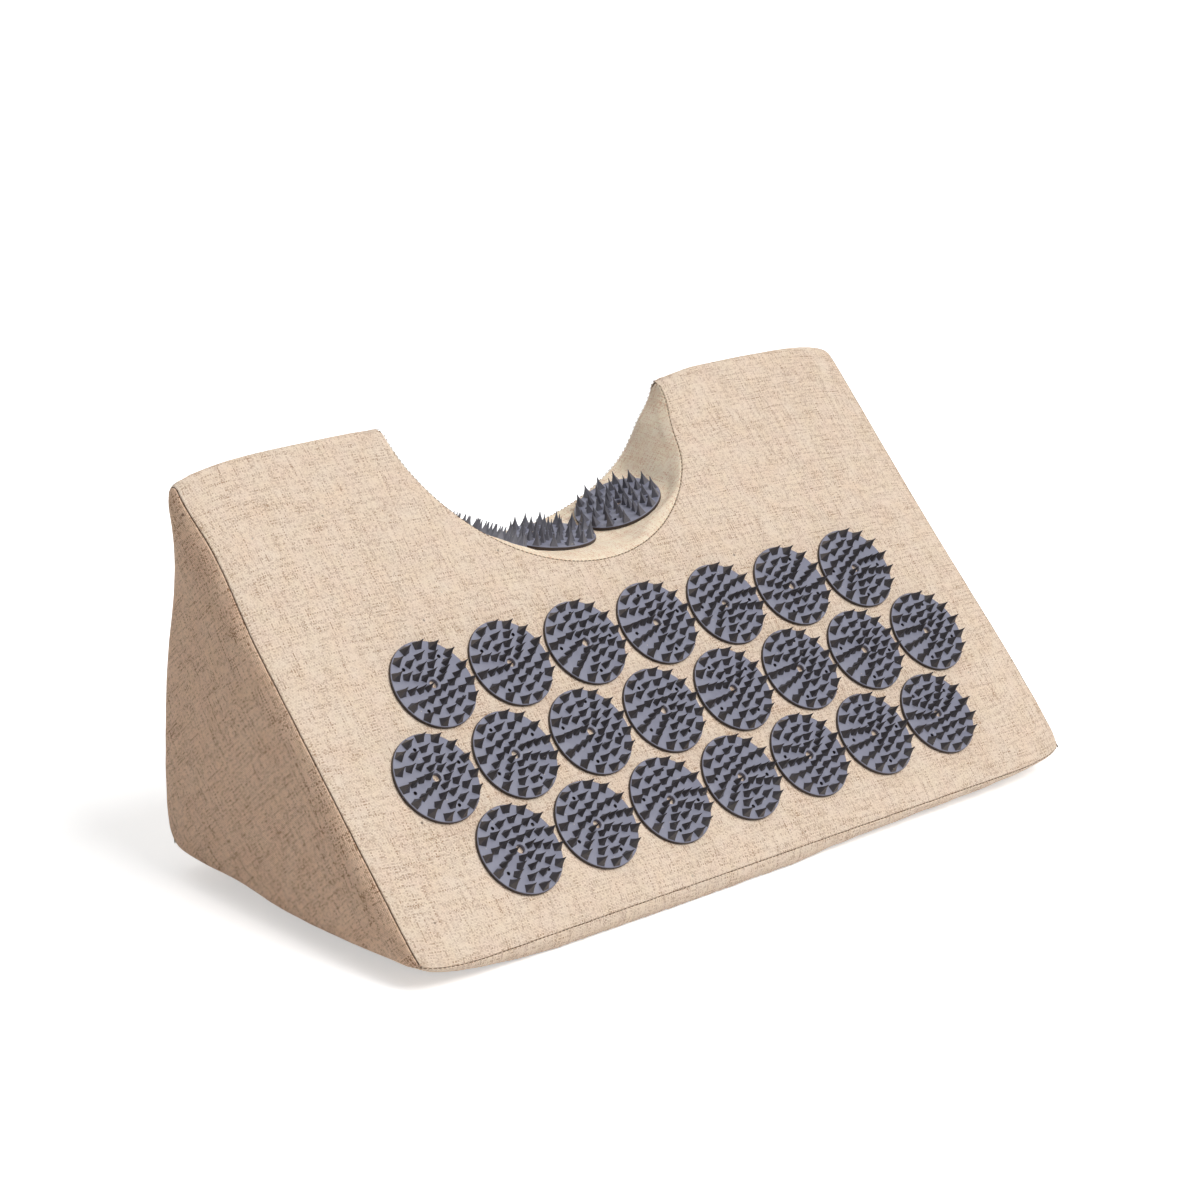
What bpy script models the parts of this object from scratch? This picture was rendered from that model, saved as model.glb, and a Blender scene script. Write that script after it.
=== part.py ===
"""Acupressure neck wedge: a foam wedge in a sewn linen cover, carrying spiked plastic discs.

Metres, +Z up. The slope with the discs faces -Y, the width runs along X, and the origin is the
middle of the footprint on the floor, under the flattened belly.
"""
import bpy
import bmesh
from math import atan2, copysign, cos, hypot, pi, radians, sin, sqrt, tan
from mathutils import Matrix, Vector

# The wedge, between the corners of its cover.
WIDTH = 0.400
DEPTH = 0.162
RISE = 0.159
CORNER_LIFT = 0.012
RIDGE_RADIUS = 0.0032

# How far the stuffed cover stands out between its seams, and how quickly it gets there.
SLOPE_CROWN = 0.0012
BACK_CROWN = 0.0085
BACK_CROWN_AT_RIDGE = 0.0075
BACK_CROWN_AT_HEM = 0.0015
BACK_BOW_AT_ENDS = 0.0040
RIDGE_BOW_AT_ENDS = 0.0044
END_CROWN = 0.0030
END_FLAT = 0.45
TOE_BOW = 0.0040
END_HEM_SAG = 0.0045
FRONT_RUN = 0.012
END_RUN = 0.035
BACK_RUN = 0.045
TOE_RUN = 0.0055
TOE_RUN_AT_ENDS = 0.018
BELLY_BACK_RUN = 0.040
BELLY_END_RUN = 0.080

# How finely the crowned faces are stepped.
END_STEPS = (0.008, 0.018)
BACK_LEVELS = (0.68, 0.36)
RIDGE_STEPS = 3
TOE_TURNS = (0.0, radians(28), radians(55))
SHARP_EDGE = radians(35)

# Cloth, and the gap that separates two pieces that touch.
CLOTH = 0.0010
CLEARANCE = 0.0003

# The neck recess: a round cut in the slope, run through to the back with a slight fall.
RECESS_RADIUS = 0.0829
RECESS_CENTRE_PAST_RIDGE = 0.0060
RECESS_FLARE = 0.0018
RECESS_FALL = radians(2.2)
RECESS_EDGE_STEPS = 3
FINE_TURN = 0.0005

# A spiked disc. Each ring of spikes: how many, the ring's radius, the side of a spike's foot.
DISC_RADIUS = 0.0205
DISC_PLATE = 0.0015
DISC_SIDES = 20
CENTRE_HOLE_RADIUS = 0.0018
CENTRE_HOLE_SIDES = 6
SPIKE_HEIGHT = 0.0062
SPIKE_ROOT = 0.0004
SPIKE_RINGS = (
    (6, 0.0046, 0.0028),
    (9, 0.0087, 0.0032),
    (12, 0.0132, 0.0032),
    (15, 0.0179, 0.0040),
)

# A backing plate behind the cloth, with the pegs that go through the weave to the disc.
BACKING_RADIUS = 0.0180
BACKING_PLATE = 0.0015
BACKING_SIDES = 8
PEG_COUNT = 4
PEG_WIDTH = 0.0016
PEG_CIRCLE_RADIUS = 0.0145

# Where the discs sit. Each row: its name, how many discs it has less than the longest row, which
# is as long as the width allows, and the turn of each of its discs in degrees. The rows nest: each
# disc lies over a gap of the next row.
DISC_GAP = 0.0028
ROW_NESTING = 0.0014
FIELD_TOE_MARGIN = 0.0132
FIELD_END_MARGIN = 0.0190
FIELD_SHIFT = 0.0040
ROWS = (
    ("lower", 1, (215, 110, 345, 350, 170, 180, 40)),
    ("middle", 0, (195, 115, 70, 210, 300, 70, 75, 65)),
    ("upper", 1, (50, 55, 90, 190, 355, 150, 355)),
)
NECK_DISC_GAP = 0.0020
NECK_DISC_PAST_BACK = 0.0030
NECK_TURNS = (20, 75, 130)

# The zip let into the foot of the back.
ZIP_BAND = 0.018
ZIP_LENGTH = 0.300
ZIP_WIDTH = 0.012
TAPE = 0.0008
COIL_WIDTH = 0.0030
COIL_HEIGHT = 0.0014
COIL_END_MARGIN = 0.004
SLIDER_LENGTH = 0.0090
SLIDER_WIDTH = 0.0066
SLIDER_ROOF = 0.0012
SLIDER_END_MARGIN = 0.002
LUG_LENGTH = 0.0020
LUG_WIDTH = 0.0010
LUG_TOP = 0.0004
BAR_RADIUS = 0.0006
BAR_SIDES = 8
EYE_WALL = 0.0005
EYE_SIDES = 12
PULL_LENGTH = 0.020
PULL_THICKNESS = 0.0011

# Sizes and directions that follow from those.
SLOPE_ANGLE = atan2(RISE, DEPTH)
SLOPE_LENGTH = hypot(RISE, DEPTH)
UP_SLOPE = Vector((cos(SLOPE_ANGLE), sin(SLOPE_ANGLE)))
OFF_SLOPE = Vector((-sin(SLOPE_ANGLE), cos(SLOPE_ANGLE)))
TOE_CORNER = Vector((-DEPTH / 2, CORNER_LIFT))
COVER_INSET = CLOTH + CLEARANCE
BACKED_INSET = COVER_INSET + BACKING_PLATE + CLEARANCE
DISC_PITCH = 2 * DISC_RADIUS + DISC_GAP
ROW_PITCH = 2 * DISC_RADIUS - ROW_NESTING
FIRST_ROW_UP_SLOPE = DISC_RADIUS + FIELD_TOE_MARGIN
NECK_DISC_PITCH = 2 * DISC_RADIUS + NECK_DISC_GAP
NECK_ROW_Y = DEPTH / 2 + NECK_DISC_PAST_BACK - DISC_RADIUS
HALF_FIELD = WIDTH / 2 - FIELD_SHIFT - FIELD_END_MARGIN - DISC_RADIUS
LONGEST_ROW = 1 + int(2 * HALF_FIELD / DISC_PITCH)
RECESS_HALF_HEIGHT = RECESS_RADIUS * sin(SLOPE_ANGLE)
RECESS_CENTRE_Z = CORNER_LIFT + (SLOPE_LENGTH + RECESS_CENTRE_PAST_RIDGE) * sin(SLOPE_ANGLE)
RECESS_FRONT_Y = (RECESS_CENTRE_Z - RECESS_HALF_HEIGHT - CORNER_LIFT) / tan(SLOPE_ANGLE) - DEPTH / 2
NECK_FLAT = 2 * (DISC_RADIUS + CLEARANCE)
BEYOND = DEPTH
STATIONS = [step - WIDTH / 2 for step in (COVER_INSET, *END_STEPS, END_RUN, BELLY_END_RUN)]
STATIONS += [-place for place in reversed(STATIONS)]
LAST_STATION = len(STATIONS) - 1
SLIDER_TOP = COIL_HEIGHT + CLEARANCE + SLIDER_ROOF
EYE_RADIUS = BAR_RADIUS + CLEARANCE + EYE_WALL
BAR_HEIGHT = SLIDER_TOP + CLEARANCE + EYE_RADIUS
PULL_WIDTH = SLIDER_WIDTH - 2 * (LUG_WIDTH + CLEARANCE)
ACROSS = Matrix.Rotation(pi / 2, 4, "X")


for leftover in list(bpy.data.objects):
    bpy.data.objects.remove(leftover)


def new_collection(name):
    collection = bpy.data.collections.new(name)
    bpy.context.scene.collection.children.link(collection)
    return collection


PARTS = new_collection("acupressure_neck_wedge")
CUTTERS = new_collection("cutters")


def new_material(name, colour, roughness, metallic=0.0):
    material = bpy.data.materials.new(name)
    material.use_nodes = True
    shader = material.node_tree.nodes["Principled BSDF"]
    shader.inputs["Base Color"].default_value = (*colour, 1.0)
    shader.inputs["Roughness"].default_value = roughness
    shader.inputs["Metallic"].default_value = metallic
    material.diffuse_color = (*colour, 1.0)
    return material


LINEN = new_material("linen", (0.66, 0.50, 0.36), 0.90)
LINING_LINEN = new_material("linen_recess", (0.62, 0.46, 0.33), 0.90)
FOAM = new_material("foam", (0.78, 0.76, 0.66), 0.95)
DISC_PLASTIC = new_material("disc_plastic", (0.11, 0.12, 0.17), 0.50)
BACKING_PLASTIC = new_material("backing_plastic", (0.05, 0.04, 0.04), 0.50)
ZIP_CLOTH = new_material("zip_cloth", (0.52, 0.40, 0.29), 0.80)
ZIP_METAL = new_material("zip_metal", (0.45, 0.42, 0.38), 0.35, 1.0)


# Bodies and cuts.
def body(name, mesh_data, material):
    piece = bpy.data.objects.new(name, mesh_data)
    PARTS.objects.link(piece)
    if not mesh_data.materials:
        mesh_data.materials.append(material)
    return piece


def cutter(name, mesh_data):
    piece = bpy.data.objects.new(name, mesh_data)
    CUTTERS.objects.link(piece)
    piece.hide_render = True
    piece.display_type = "WIRE"
    return piece


def smooth_mesh(name, bm):
    mesh_data = bpy.data.meshes.new(name)
    bm.to_mesh(mesh_data)
    bm.free()
    mesh_data.shade_smooth()
    mesh_data.set_sharp_from_angle(angle=SHARP_EDGE)
    return mesh_data


def closed_mesh(name, bm):
    bmesh.ops.recalc_face_normals(bm, faces=bm.faces)
    return smooth_mesh(name, bm)


def boolean(piece, other, operation="DIFFERENCE"):
    modifier = piece.modifiers.new(operation.lower() + "_" + other.name, "BOOLEAN")
    modifier.operation = operation
    modifier.object = other
    modifier.solver = "EXACT"


def loft(name, rings):
    """A closed body through rings of as many points each, with a flat face on both ends."""
    bm = bmesh.new()
    loops = [[bm.verts.new(point) for point in ring] for ring in rings]
    for near, far in zip(loops, loops[1:]):
        for index in range(len(near)):
            after = (index + 1) % len(near)
            bm.faces.new((near[index], near[after], far[after], far[index]))
    bm.faces.new(loops[0])
    bm.faces.new(loops[-1])
    return closed_mesh(name, bm)


def add_box(bm, size, place):
    bmesh.ops.create_cube(bm, size=1.0, matrix=place @ Matrix.Diagonal((*size, 1.0)))


def add_rod(bm, sides, radius, length, place):
    bmesh.ops.create_cone(bm, cap_ends=True, segments=sides, radius1=radius, radius2=radius,
                          depth=length, matrix=place)


def swell(distance, run):
    """Rise from 0 at a seam to 1 at the end of the run, levelling off there."""
    share = min(max(distance / run, 0.0), 1.0)
    return 1.0 - (1.0 - share) ** 2


def shifted_right(outline, distances, closed):
    """Move each point of a flat outline to the right of its travel, mitred at the corners."""
    moved = []
    last = len(outline) - 1
    for index, point in enumerate(outline):
        steps = []
        if closed or index > 0:
            steps.append((point - outline[index - 1]).normalized())
        if closed or index < last:
            steps.append((outline[(index + 1) % len(outline)] - point).normalized())
        sides = [Vector((step.y, -step.x)) for step in steps]
        middle = sum(sides, Vector((0.0, 0.0))).normalized()
        moved.append(point + middle * distances[index] / middle.dot(sides[0]))
    return moved


# The outline of the stuffed cover at one place along its width, in y and z.
def slope_line(x):
    """From the toe seam to the point where the ridge starts to round over."""
    from_end = WIDTH / 2 - abs(x)
    bow = TOE_BOW * swell(from_end, END_RUN)
    crown = SLOPE_CROWN * swell(from_end, END_RUN)
    line = []
    for run in (0.0, FRONT_RUN / 3, FRONT_RUN):
        line.append(TOE_CORNER + UP_SLOPE * (run - bow) + OFF_SLOPE * crown * swell(run, FRONT_RUN))
    return line


def ridge_arc(x):
    """The rounded ridge, from the slope's own direction over to straight down."""
    full = swell(WIDTH / 2 - abs(x), END_RUN)
    crown = SLOPE_CROWN * full
    back = RIDGE_BOW_AT_ENDS + (BACK_CROWN_AT_RIDGE - RIDGE_BOW_AT_ENDS) * full
    up = (DEPTH + back - OFF_SLOPE.x * crown) / UP_SLOPE.x
    sharp = TOE_CORNER + UP_SLOPE * up + OFF_SLOPE * crown
    half_angle = (pi / 2 - SLOPE_ANGLE) / 2
    inwards = (-UP_SLOPE + Vector((0.0, -1.0))).normalized()
    centre = sharp + inwards * RIDGE_RADIUS / sin(half_angle)
    sweep = pi / 2 + SLOPE_ANGLE
    turns = (sweep * (1 - step / RIDGE_STEPS) for step in range(RIDGE_STEPS + 1))
    return [centre + Vector((cos(turn), sin(turn))) * RIDGE_RADIUS for turn in turns]


def back_line(x, top):
    """From below the ridge down to the hem, its lowest stretch flat where the zip lies."""
    full = swell(WIDTH / 2 - abs(x), END_RUN)
    most = BACK_BOW_AT_ENDS + (BACK_CROWN - BACK_BOW_AT_ENDS) * full
    hem = BACK_CROWN_AT_HEM * full
    height = top.y - CORNER_LIFT
    line = []
    for level in (*BACK_LEVELS, ZIP_BAND / height, 0.0):
        above = level * height
        out = hem + (most - hem) * swell(above, BACK_RUN)
        out += (top.x - DEPTH / 2 - most) * level ** 2
        line.append(Vector((DEPTH / 2 + out, CORNER_LIFT + above)))
    return line


def belly_line(x, hem, toe):
    """Under the wedge from the back hem to the toe seam: down to the floor, along it, and up."""
    full = swell(WIDTH / 2 - abs(x), BELLY_END_RUN)

    def hem_line(run):
        share = run / (hem.x - toe.x)
        return hem.y + (toe.y - hem.y) * share - 4 * END_HEM_SAG * share * (1 - share)

    line = []
    for run in (BELLY_BACK_RUN / 3, BELLY_BACK_RUN):
        line.append(Vector((hem.x - run, hem_line(run) * (1 - full * swell(run, BELLY_BACK_RUN)))))
    toe_run = TOE_RUN_AT_ENDS + (TOE_RUN - TOE_RUN_AT_ENDS) * full
    low = hem_line(hem.x - toe.x - toe_run) * (1 - full)
    for turn in TOE_TURNS:
        line.append(Vector((toe.x + toe_run * (1 - sin(turn)), low + (toe.y - low) * (1 - cos(turn)))))
    return line


def section(x):
    """The whole outline: slope, ridge, back and belly, once round."""
    slope = slope_line(x)
    ridge = ridge_arc(x)
    back = back_line(x, ridge[-1])
    belly = belly_line(x, back[-1], slope[0])
    return slope, ridge, back, belly


def seam_trim(into, out):
    """How far two sheets stop short of their seam, so that their inner faces stay apart."""
    turn = into.angle(out)
    return CLOTH * tan(turn / 2) + CLEARANCE / 2


def cover_ring(x):
    """The outside of the cover at x, as points in space."""
    return [Vector((x, point.x, point.y)) for line in section(x) for point in line]


def foam_ring(x):
    """The foam at x: the cover's outline drawn in by what lies over it, with a blunt toe."""
    slope, ridge, back, belly = section(x)
    backed = slope[1:] + ridge[:1]
    bare = ridge[1:] + back + belly[:-1]
    insets = [BACKED_INSET] * len(backed) + [COVER_INSET] * len(bare)
    return [Vector((x, point.x, point.y)) for point in shifted_right(backed + bare, insets, True)]


def crowned_end(ring):
    """The flat middle of an end: its ring drawn in towards one point and moved outwards."""
    rim = cover_ring(WIDTH / 2)
    middle = sum(rim, Vector()) / len(rim)
    middle.x = ring[0].x
    outwards = Vector((copysign(END_CROWN, middle.x), 0.0, 0.0))
    return [middle + (point - middle) * END_FLAT + outwards for point in ring]


def wedge_mesh(name, ring_at, end_inset):
    """A wedge through one ring after another along its width, its two ends crowned."""
    edge = WIDTH / 2 - end_inset
    rings = [ring_at(x) for x in [-edge] + STATIONS[1:-1] + [edge]]
    rings.insert(0, crowned_end(rings[0]))
    rings.append(crowned_end(rings[-1]))
    return loft(name, rings)


# The neck recess: its outline across the width, in x and z.
def recess_turn(arc):
    """How far round the ellipse the given length of arc from its bottom reaches, in radians."""
    turn = 0.0
    travelled = 0.0
    while travelled < abs(arc):
        travelled += FINE_TURN * hypot(RECESS_RADIUS * cos(turn), RECESS_HALF_HEIGHT * sin(turn))
        turn += FINE_TURN
    return copysign(turn, arc)


def recess_point(turn):
    return Vector((RECESS_RADIUS * sin(turn), RECESS_CENTRE_Z - RECESS_HALF_HEIGHT * cos(turn)))


def neck_seats():
    """Where each neck disc's middle touches the ellipse, and the direction of the cloth there."""
    for index in range(len(NECK_TURNS)):
        turn = recess_turn((index - (len(NECK_TURNS) - 1) / 2) * NECK_DISC_PITCH)
        along = Vector((RECESS_RADIUS * cos(turn), RECESS_HALF_HEIGHT * sin(turn)))
        yield recess_point(turn), along.normalized()


def recess_outline():
    """From the left rim down and up to the right one, flat under each of the neck discs."""
    flats = [seat + along * end for seat, along in neck_seats() for end in (-NECK_FLAT / 2, NECK_FLAT / 2)]
    lowest_turn = recess_turn((NECK_DISC_PITCH * (len(NECK_TURNS) - 1) + NECK_FLAT) / 2)
    climb = (pi / 2 - lowest_turn) / RECESS_EDGE_STEPS
    right = [recess_point(lowest_turn + climb * step) for step in range(1, RECESS_EDGE_STEPS)]
    right.append(Vector((RECESS_RADIUS + RECESS_FLARE, RECESS_CENTRE_Z)))
    right.append(right[-1] + Vector((0.0, RISE / 2)))
    return [Vector((-point.x, point.y)) for point in reversed(right)] + flats + right


def fallen(height, y):
    """What a height on the recess's front outline has come down to at a place further back."""
    return height - tan(RECESS_FALL) * (y - RECESS_FRONT_Y)


def recess_prism(name, outline):
    """An outline in x and z, run from well in front of the wedge to well behind it, on the fall."""
    return loft(name, [[Vector((point.x, y, fallen(point.y, y))) for point in outline]
                       for y in (-BEYOND, BEYOND)])


def recess_cutter(name, offset):
    line = shifted_right(RECESS, [offset] * len(RECESS), False)
    return cutter(name, recess_prism(name, line))


RECESS = recess_outline()


# The stations that carry a disc on the cloth and its backing plate behind it.
def empty(name, location, rotation, parent=None):
    guide = bpy.data.objects.new(name, None)
    PARTS.objects.link(guide)
    guide.empty_display_size = DISC_RADIUS / 2
    guide.location = location
    guide.rotation_euler = rotation
    guide.parent = parent
    return guide


def slope_stations():
    frame = empty("slope_frame", (0.0, *TOE_CORNER), (SLOPE_ANGLE, 0.0, 0.0))
    stations = []
    for row, (row_name, fewer, turns) in enumerate(ROWS):
        count = LONGEST_ROW - fewer
        for index in range(count):
            turn = turns[index % len(turns)]
            across = FIELD_SHIFT + (index - (count - 1) / 2) * DISC_PITCH
            up = FIRST_ROW_UP_SLOPE + row * ROW_PITCH
            name = f"{row_name}_{index + 1}"
            stations.append((name, empty("station_" + name, (across, up, SLOPE_CROWN),
                                         (0.0, 0.0, radians(turn)), frame)))
    return stations


def neck_stations():
    stations = []
    for index, (turn, (seat, along)) in enumerate(zip(NECK_TURNS, neck_seats())):
        lean = Matrix.Rotation(-atan2(along.y, along.x), 3, "Y")
        lying = Matrix.Rotation(-RECESS_FALL, 3, "X") @ lean
        frame = empty(f"neck_frame_{index + 1}", (seat.x, NECK_ROW_Y, fallen(seat.y, NECK_ROW_Y)),
                      lying.to_euler())
        name = f"neck_{index + 1}"
        stations.append((name, empty("station_" + name, (0.0, 0.0, 0.0), (0.0, 0.0, radians(turn)), frame)))
    return stations


def peg_places():
    for index in range(PEG_COUNT):
        yield Matrix.Rotation(index * 2 * pi / PEG_COUNT, 4, "Z") @ Matrix.Translation((PEG_CIRCLE_RADIUS, 0, 0))


def peg_hole_cutter(name, stations):
    """A square hole through the cloth for every peg, with clearance all round."""
    bm = bmesh.new()
    width = PEG_WIDTH + 2 * CLEARANCE
    for _, guide in stations:
        for place in peg_places():
            middle = Matrix.Translation((0.0, 0.0, -CLOTH / 2))
            add_box(bm, (width, width, 3 * CLOTH), guide.matrix_world @ place @ middle)
    return cutter(name, closed_mesh(name, bm))


# The spiked disc and the backing plate, each one mesh for all its copies.
def as_plain_mesh(name, piece, others):
    """Read the piece with its cuts and joints applied, and clear away what made it."""
    bpy.context.view_layer.update()
    evaluated = piece.evaluated_get(bpy.context.evaluated_depsgraph_get())
    plain = bpy.data.meshes.new_from_object(evaluated)
    plain.name = name
    for used in [piece] + others:
        bpy.data.objects.remove(used)
    return plain


def disc_mesh():
    plate = bmesh.new()
    lift = Matrix.Translation((0.0, 0.0, DISC_PLATE / 2))
    add_rod(plate, DISC_SIDES, DISC_RADIUS, DISC_PLATE, lift)
    spikes = bmesh.new()
    height = SPIKE_HEIGHT + SPIKE_ROOT
    for count, ring_radius, foot in SPIKE_RINGS:
        corner = foot / sqrt(2) * height / SPIKE_HEIGHT
        for index in range(count):
            turn = Matrix.Rotation((index + 0.5) * 2 * pi / count, 4, "Z")
            out = Matrix.Translation((ring_radius, 0.0, DISC_PLATE - SPIKE_ROOT + height / 2))
            square_on = Matrix.Rotation(pi / 4, 4, "Z")
            bmesh.ops.create_cone(spikes, cap_ends=True, segments=4, radius1=corner, radius2=0.0,
                                  depth=height, matrix=turn @ out @ square_on)
    hole = bmesh.new()
    add_rod(hole, CENTRE_HOLE_SIDES, CENTRE_HOLE_RADIUS, 3 * DISC_PLATE, lift)
    disc = cutter("disc_plate", closed_mesh("disc_plate", plate))
    spiked = cutter("disc_spikes", closed_mesh("disc_spikes", spikes))
    drill = cutter("disc_drill", closed_mesh("disc_drill", hole))
    boolean(disc, spiked, "UNION")
    boolean(disc, drill)
    return as_plain_mesh("spiked_disc", disc, [spiked, drill])


def backing_mesh():
    plate = bmesh.new()
    add_rod(plate, BACKING_SIDES, BACKING_RADIUS, BACKING_PLATE,
            Matrix.Translation((0.0, 0.0, BACKING_PLATE / 2)))
    pegs = bmesh.new()
    root = BACKING_PLATE / 3
    tall = root + CLEARANCE + CLOTH
    for place in peg_places():
        up = Matrix.Translation((0.0, 0.0, BACKING_PLATE - root + tall / 2))
        add_box(pegs, (PEG_WIDTH, PEG_WIDTH, tall), place @ up)
    backing = cutter("backing_plate", closed_mesh("backing_plate", plate))
    pegged = cutter("backing_pegs", closed_mesh("backing_pegs", pegs))
    boolean(backing, pegged, "UNION")
    return as_plain_mesh("backing_plate", backing, [pegged])


def add_discs(stations):
    disc = disc_mesh()
    backing = backing_mesh()
    for name, guide in stations:
        spiked = body("disc_" + name, disc, DISC_PLASTIC)
        spiked.parent = guide
        spiked.location.z = CLEARANCE
        plate = body("backing_" + name, backing, BACKING_PLASTIC)
        plate.parent = guide
        plate.location.z = -(CLOTH + CLEARANCE + BACKING_PLATE)


# The cover's sheets.
def sheet(name, line_at, thickness):
    """A grid across the width and along a line of the section, thickened inwards."""
    along = len(line_at(0.0)) - 1
    bm = bmesh.new()
    bmesh.ops.create_grid(bm, x_segments=LAST_STATION, y_segments=along, size=0.5)
    for vertex in bm.verts:
        x = STATIONS[round((vertex.co.x + 0.5) * LAST_STATION)]
        point = line_at(x)[round((vertex.co.y + 0.5) * along)]
        vertex.co = (x, point.x, point.y)
    piece = body(name, smooth_mesh(name, bm), LINEN)
    wall = piece.modifiers.new("cloth", "SOLIDIFY")
    wall.thickness = thickness
    wall.offset = -1.0
    wall.use_even_offset = True
    return piece


def wrap_line(x):
    """Slope, ridge and back in one length of cloth, short of its two seams."""
    slope, ridge, back, belly = section(x)
    line = slope + ridge + back
    toe_trim = seam_trim(slope[0] - belly[-1], slope[1] - slope[0])
    hem_trim = seam_trim(back[-1] - back[-2], belly[0] - back[-1])
    line[0] = line[0] + (line[1] - line[0]).normalized() * toe_trim
    line[-1] = line[-1] + (line[-2] - line[-1]).normalized() * hem_trim
    return line


def belly_cloth_line(x):
    """From the back hem under the foam to the toe seam."""
    slope, _, back, belly = section(x)
    line = [back[-1]] + belly + [slope[0]]
    toe_trim = seam_trim(slope[0] - belly[-1], slope[1] - slope[0])
    hem_trim = seam_trim(back[-1] - back[-2], belly[0] - back[-1])
    line[0] = line[0] + (line[1] - line[0]).normalized() * hem_trim
    line[-1] = line[-1] + (line[-2] - line[-1]).normalized() * toe_trim
    return line


def add_end_panel(name, side):
    """One triangular end, crowned a little, its outline the cover's own."""
    edge = side * WIDTH / 2
    outer = cover_ring(edge)
    inner = [point - Vector((side * CLOTH, 0.0, 0.0)) for point in outer]
    body(name, loft(name, [crowned_end(outer), outer, inner, crowned_end(inner)]), LINEN)


def add_liner(whole, peg_holes):
    """The strip that lines the recess, ending flush with the slope and with the back."""
    under = shifted_right(RECESS, [CLOTH] * len(RECESS), False)
    liner = body("recess_liner", recess_prism("recess_liner", RECESS + under[::-1]), LINING_LINEN)
    boolean(liner, whole, "INTERSECT")
    boolean(liner, peg_holes)


# The zip, drawn in its own frame: x along the coil, y up the back, z out of it.
def zip_frame():
    _, _, back, _ = section(0.0)
    band_top, hem = back[-2], back[-1]
    middle = (band_top + hem) / 2
    lean = atan2(hem.x - band_top.x, band_top.y - hem.y)
    place = Matrix.Translation((0.0, middle.x, middle.y)) @ Matrix.Rotation(pi, 4, "Z")
    return place @ Matrix.Rotation(pi / 2 - lean, 4, "X")


def zip_box(size, middle):
    bm = bmesh.new()
    add_box(bm, size, Matrix.Translation(middle))
    return bm


def add_zip(wrap):
    frame = zip_frame()
    window = cutter("zip_window", closed_mesh("zip_window", zip_box(
        (ZIP_LENGTH + 2 * CLEARANCE, ZIP_WIDTH + 2 * CLEARANCE, 6 * CLOTH), (0.0, 0.0, 0.0))))
    window.matrix_world = frame
    boolean(wrap, window)

    tape = body("zip_tape", closed_mesh("zip_tape", zip_box(
        (ZIP_LENGTH, ZIP_WIDTH, TAPE), (0.0, 0.0, -TAPE / 2))), ZIP_CLOTH)
    tape.matrix_world = frame
    coil_length = ZIP_LENGTH - 2 * COIL_END_MARGIN
    coil = cutter("zip_coil", closed_mesh("zip_coil", zip_box(
        (coil_length, COIL_WIDTH, COIL_HEIGHT + TAPE / 2), (0.0, 0.0, (COIL_HEIGHT - TAPE / 2) / 2))))
    coil.matrix_world = frame
    boolean(tape, coil, "UNION")

    rest = frame @ Matrix.Translation((SLIDER_END_MARGIN + SLIDER_LENGTH / 2 - coil_length / 2, 0.0, 0.0))
    add_slider(rest)
    add_pull(rest)


def add_slider(rest):
    block = closed_mesh("zip_slider", zip_box(
        (SLIDER_LENGTH, SLIDER_WIDTH, SLIDER_TOP - CLEARANCE), (0.0, 0.0, (SLIDER_TOP + CLEARANCE) / 2)))
    slider = body("zip_slider", block, ZIP_METAL)
    groove = cutter("slider_groove", closed_mesh("slider_groove", zip_box(
        (2 * SLIDER_LENGTH, COIL_WIDTH + 2 * CLEARANCE, 2 * (COIL_HEIGHT + CLEARANCE)), (0.0, 0.0, 0.0))))
    lugs = bmesh.new()
    root = SLIDER_ROOF / 2
    tall = BAR_HEIGHT + BAR_RADIUS + LUG_TOP - SLIDER_TOP + root
    for side in (-1, 1):
        across = side * (SLIDER_WIDTH - LUG_WIDTH) / 2
        add_box(lugs, (LUG_LENGTH, LUG_WIDTH, tall),
                Matrix.Translation((0.0, across, SLIDER_TOP - root + tall / 2)))
    bar = bmesh.new()
    on_axis = Matrix.Translation((0.0, 0.0, BAR_HEIGHT)) @ ACROSS
    add_rod(bar, BAR_SIDES, BAR_RADIUS, SLIDER_WIDTH - LUG_WIDTH, on_axis)
    ears = cutter("slider_lugs", closed_mesh("slider_lugs", lugs))
    pin = cutter("slider_bar", closed_mesh("slider_bar", bar))
    for piece in (slider, groove, ears, pin):
        piece.matrix_world = rest
    boolean(slider, groove)
    boolean(slider, ears, "UNION")
    boolean(slider, pin, "UNION")


def add_pull(rest):
    """The tab, its origin on the bar that it turns about."""
    on_bar = rest @ Matrix.Translation((0.0, 0.0, BAR_HEIGHT))
    round_eye = bmesh.new()
    add_rod(round_eye, EYE_SIDES, EYE_RADIUS, PULL_WIDTH, ACROSS)
    pull = body("zip_pull", closed_mesh("zip_pull", round_eye), ZIP_METAL)
    blade = cutter("pull_blade", closed_mesh("pull_blade", zip_box(
        (PULL_LENGTH, PULL_WIDTH - CLEARANCE, PULL_THICKNESS), (PULL_LENGTH / 2, 0.0, 0.0))))
    bore = bmesh.new()
    add_rod(bore, EYE_SIDES, BAR_RADIUS + CLEARANCE, 2 * PULL_WIDTH, ACROSS)
    drill = cutter("pull_bore", closed_mesh("pull_bore", bore))
    for piece in (pull, blade, drill):
        piece.matrix_world = on_bar
    boolean(pull, blade, "UNION")
    boolean(pull, drill)


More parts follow.
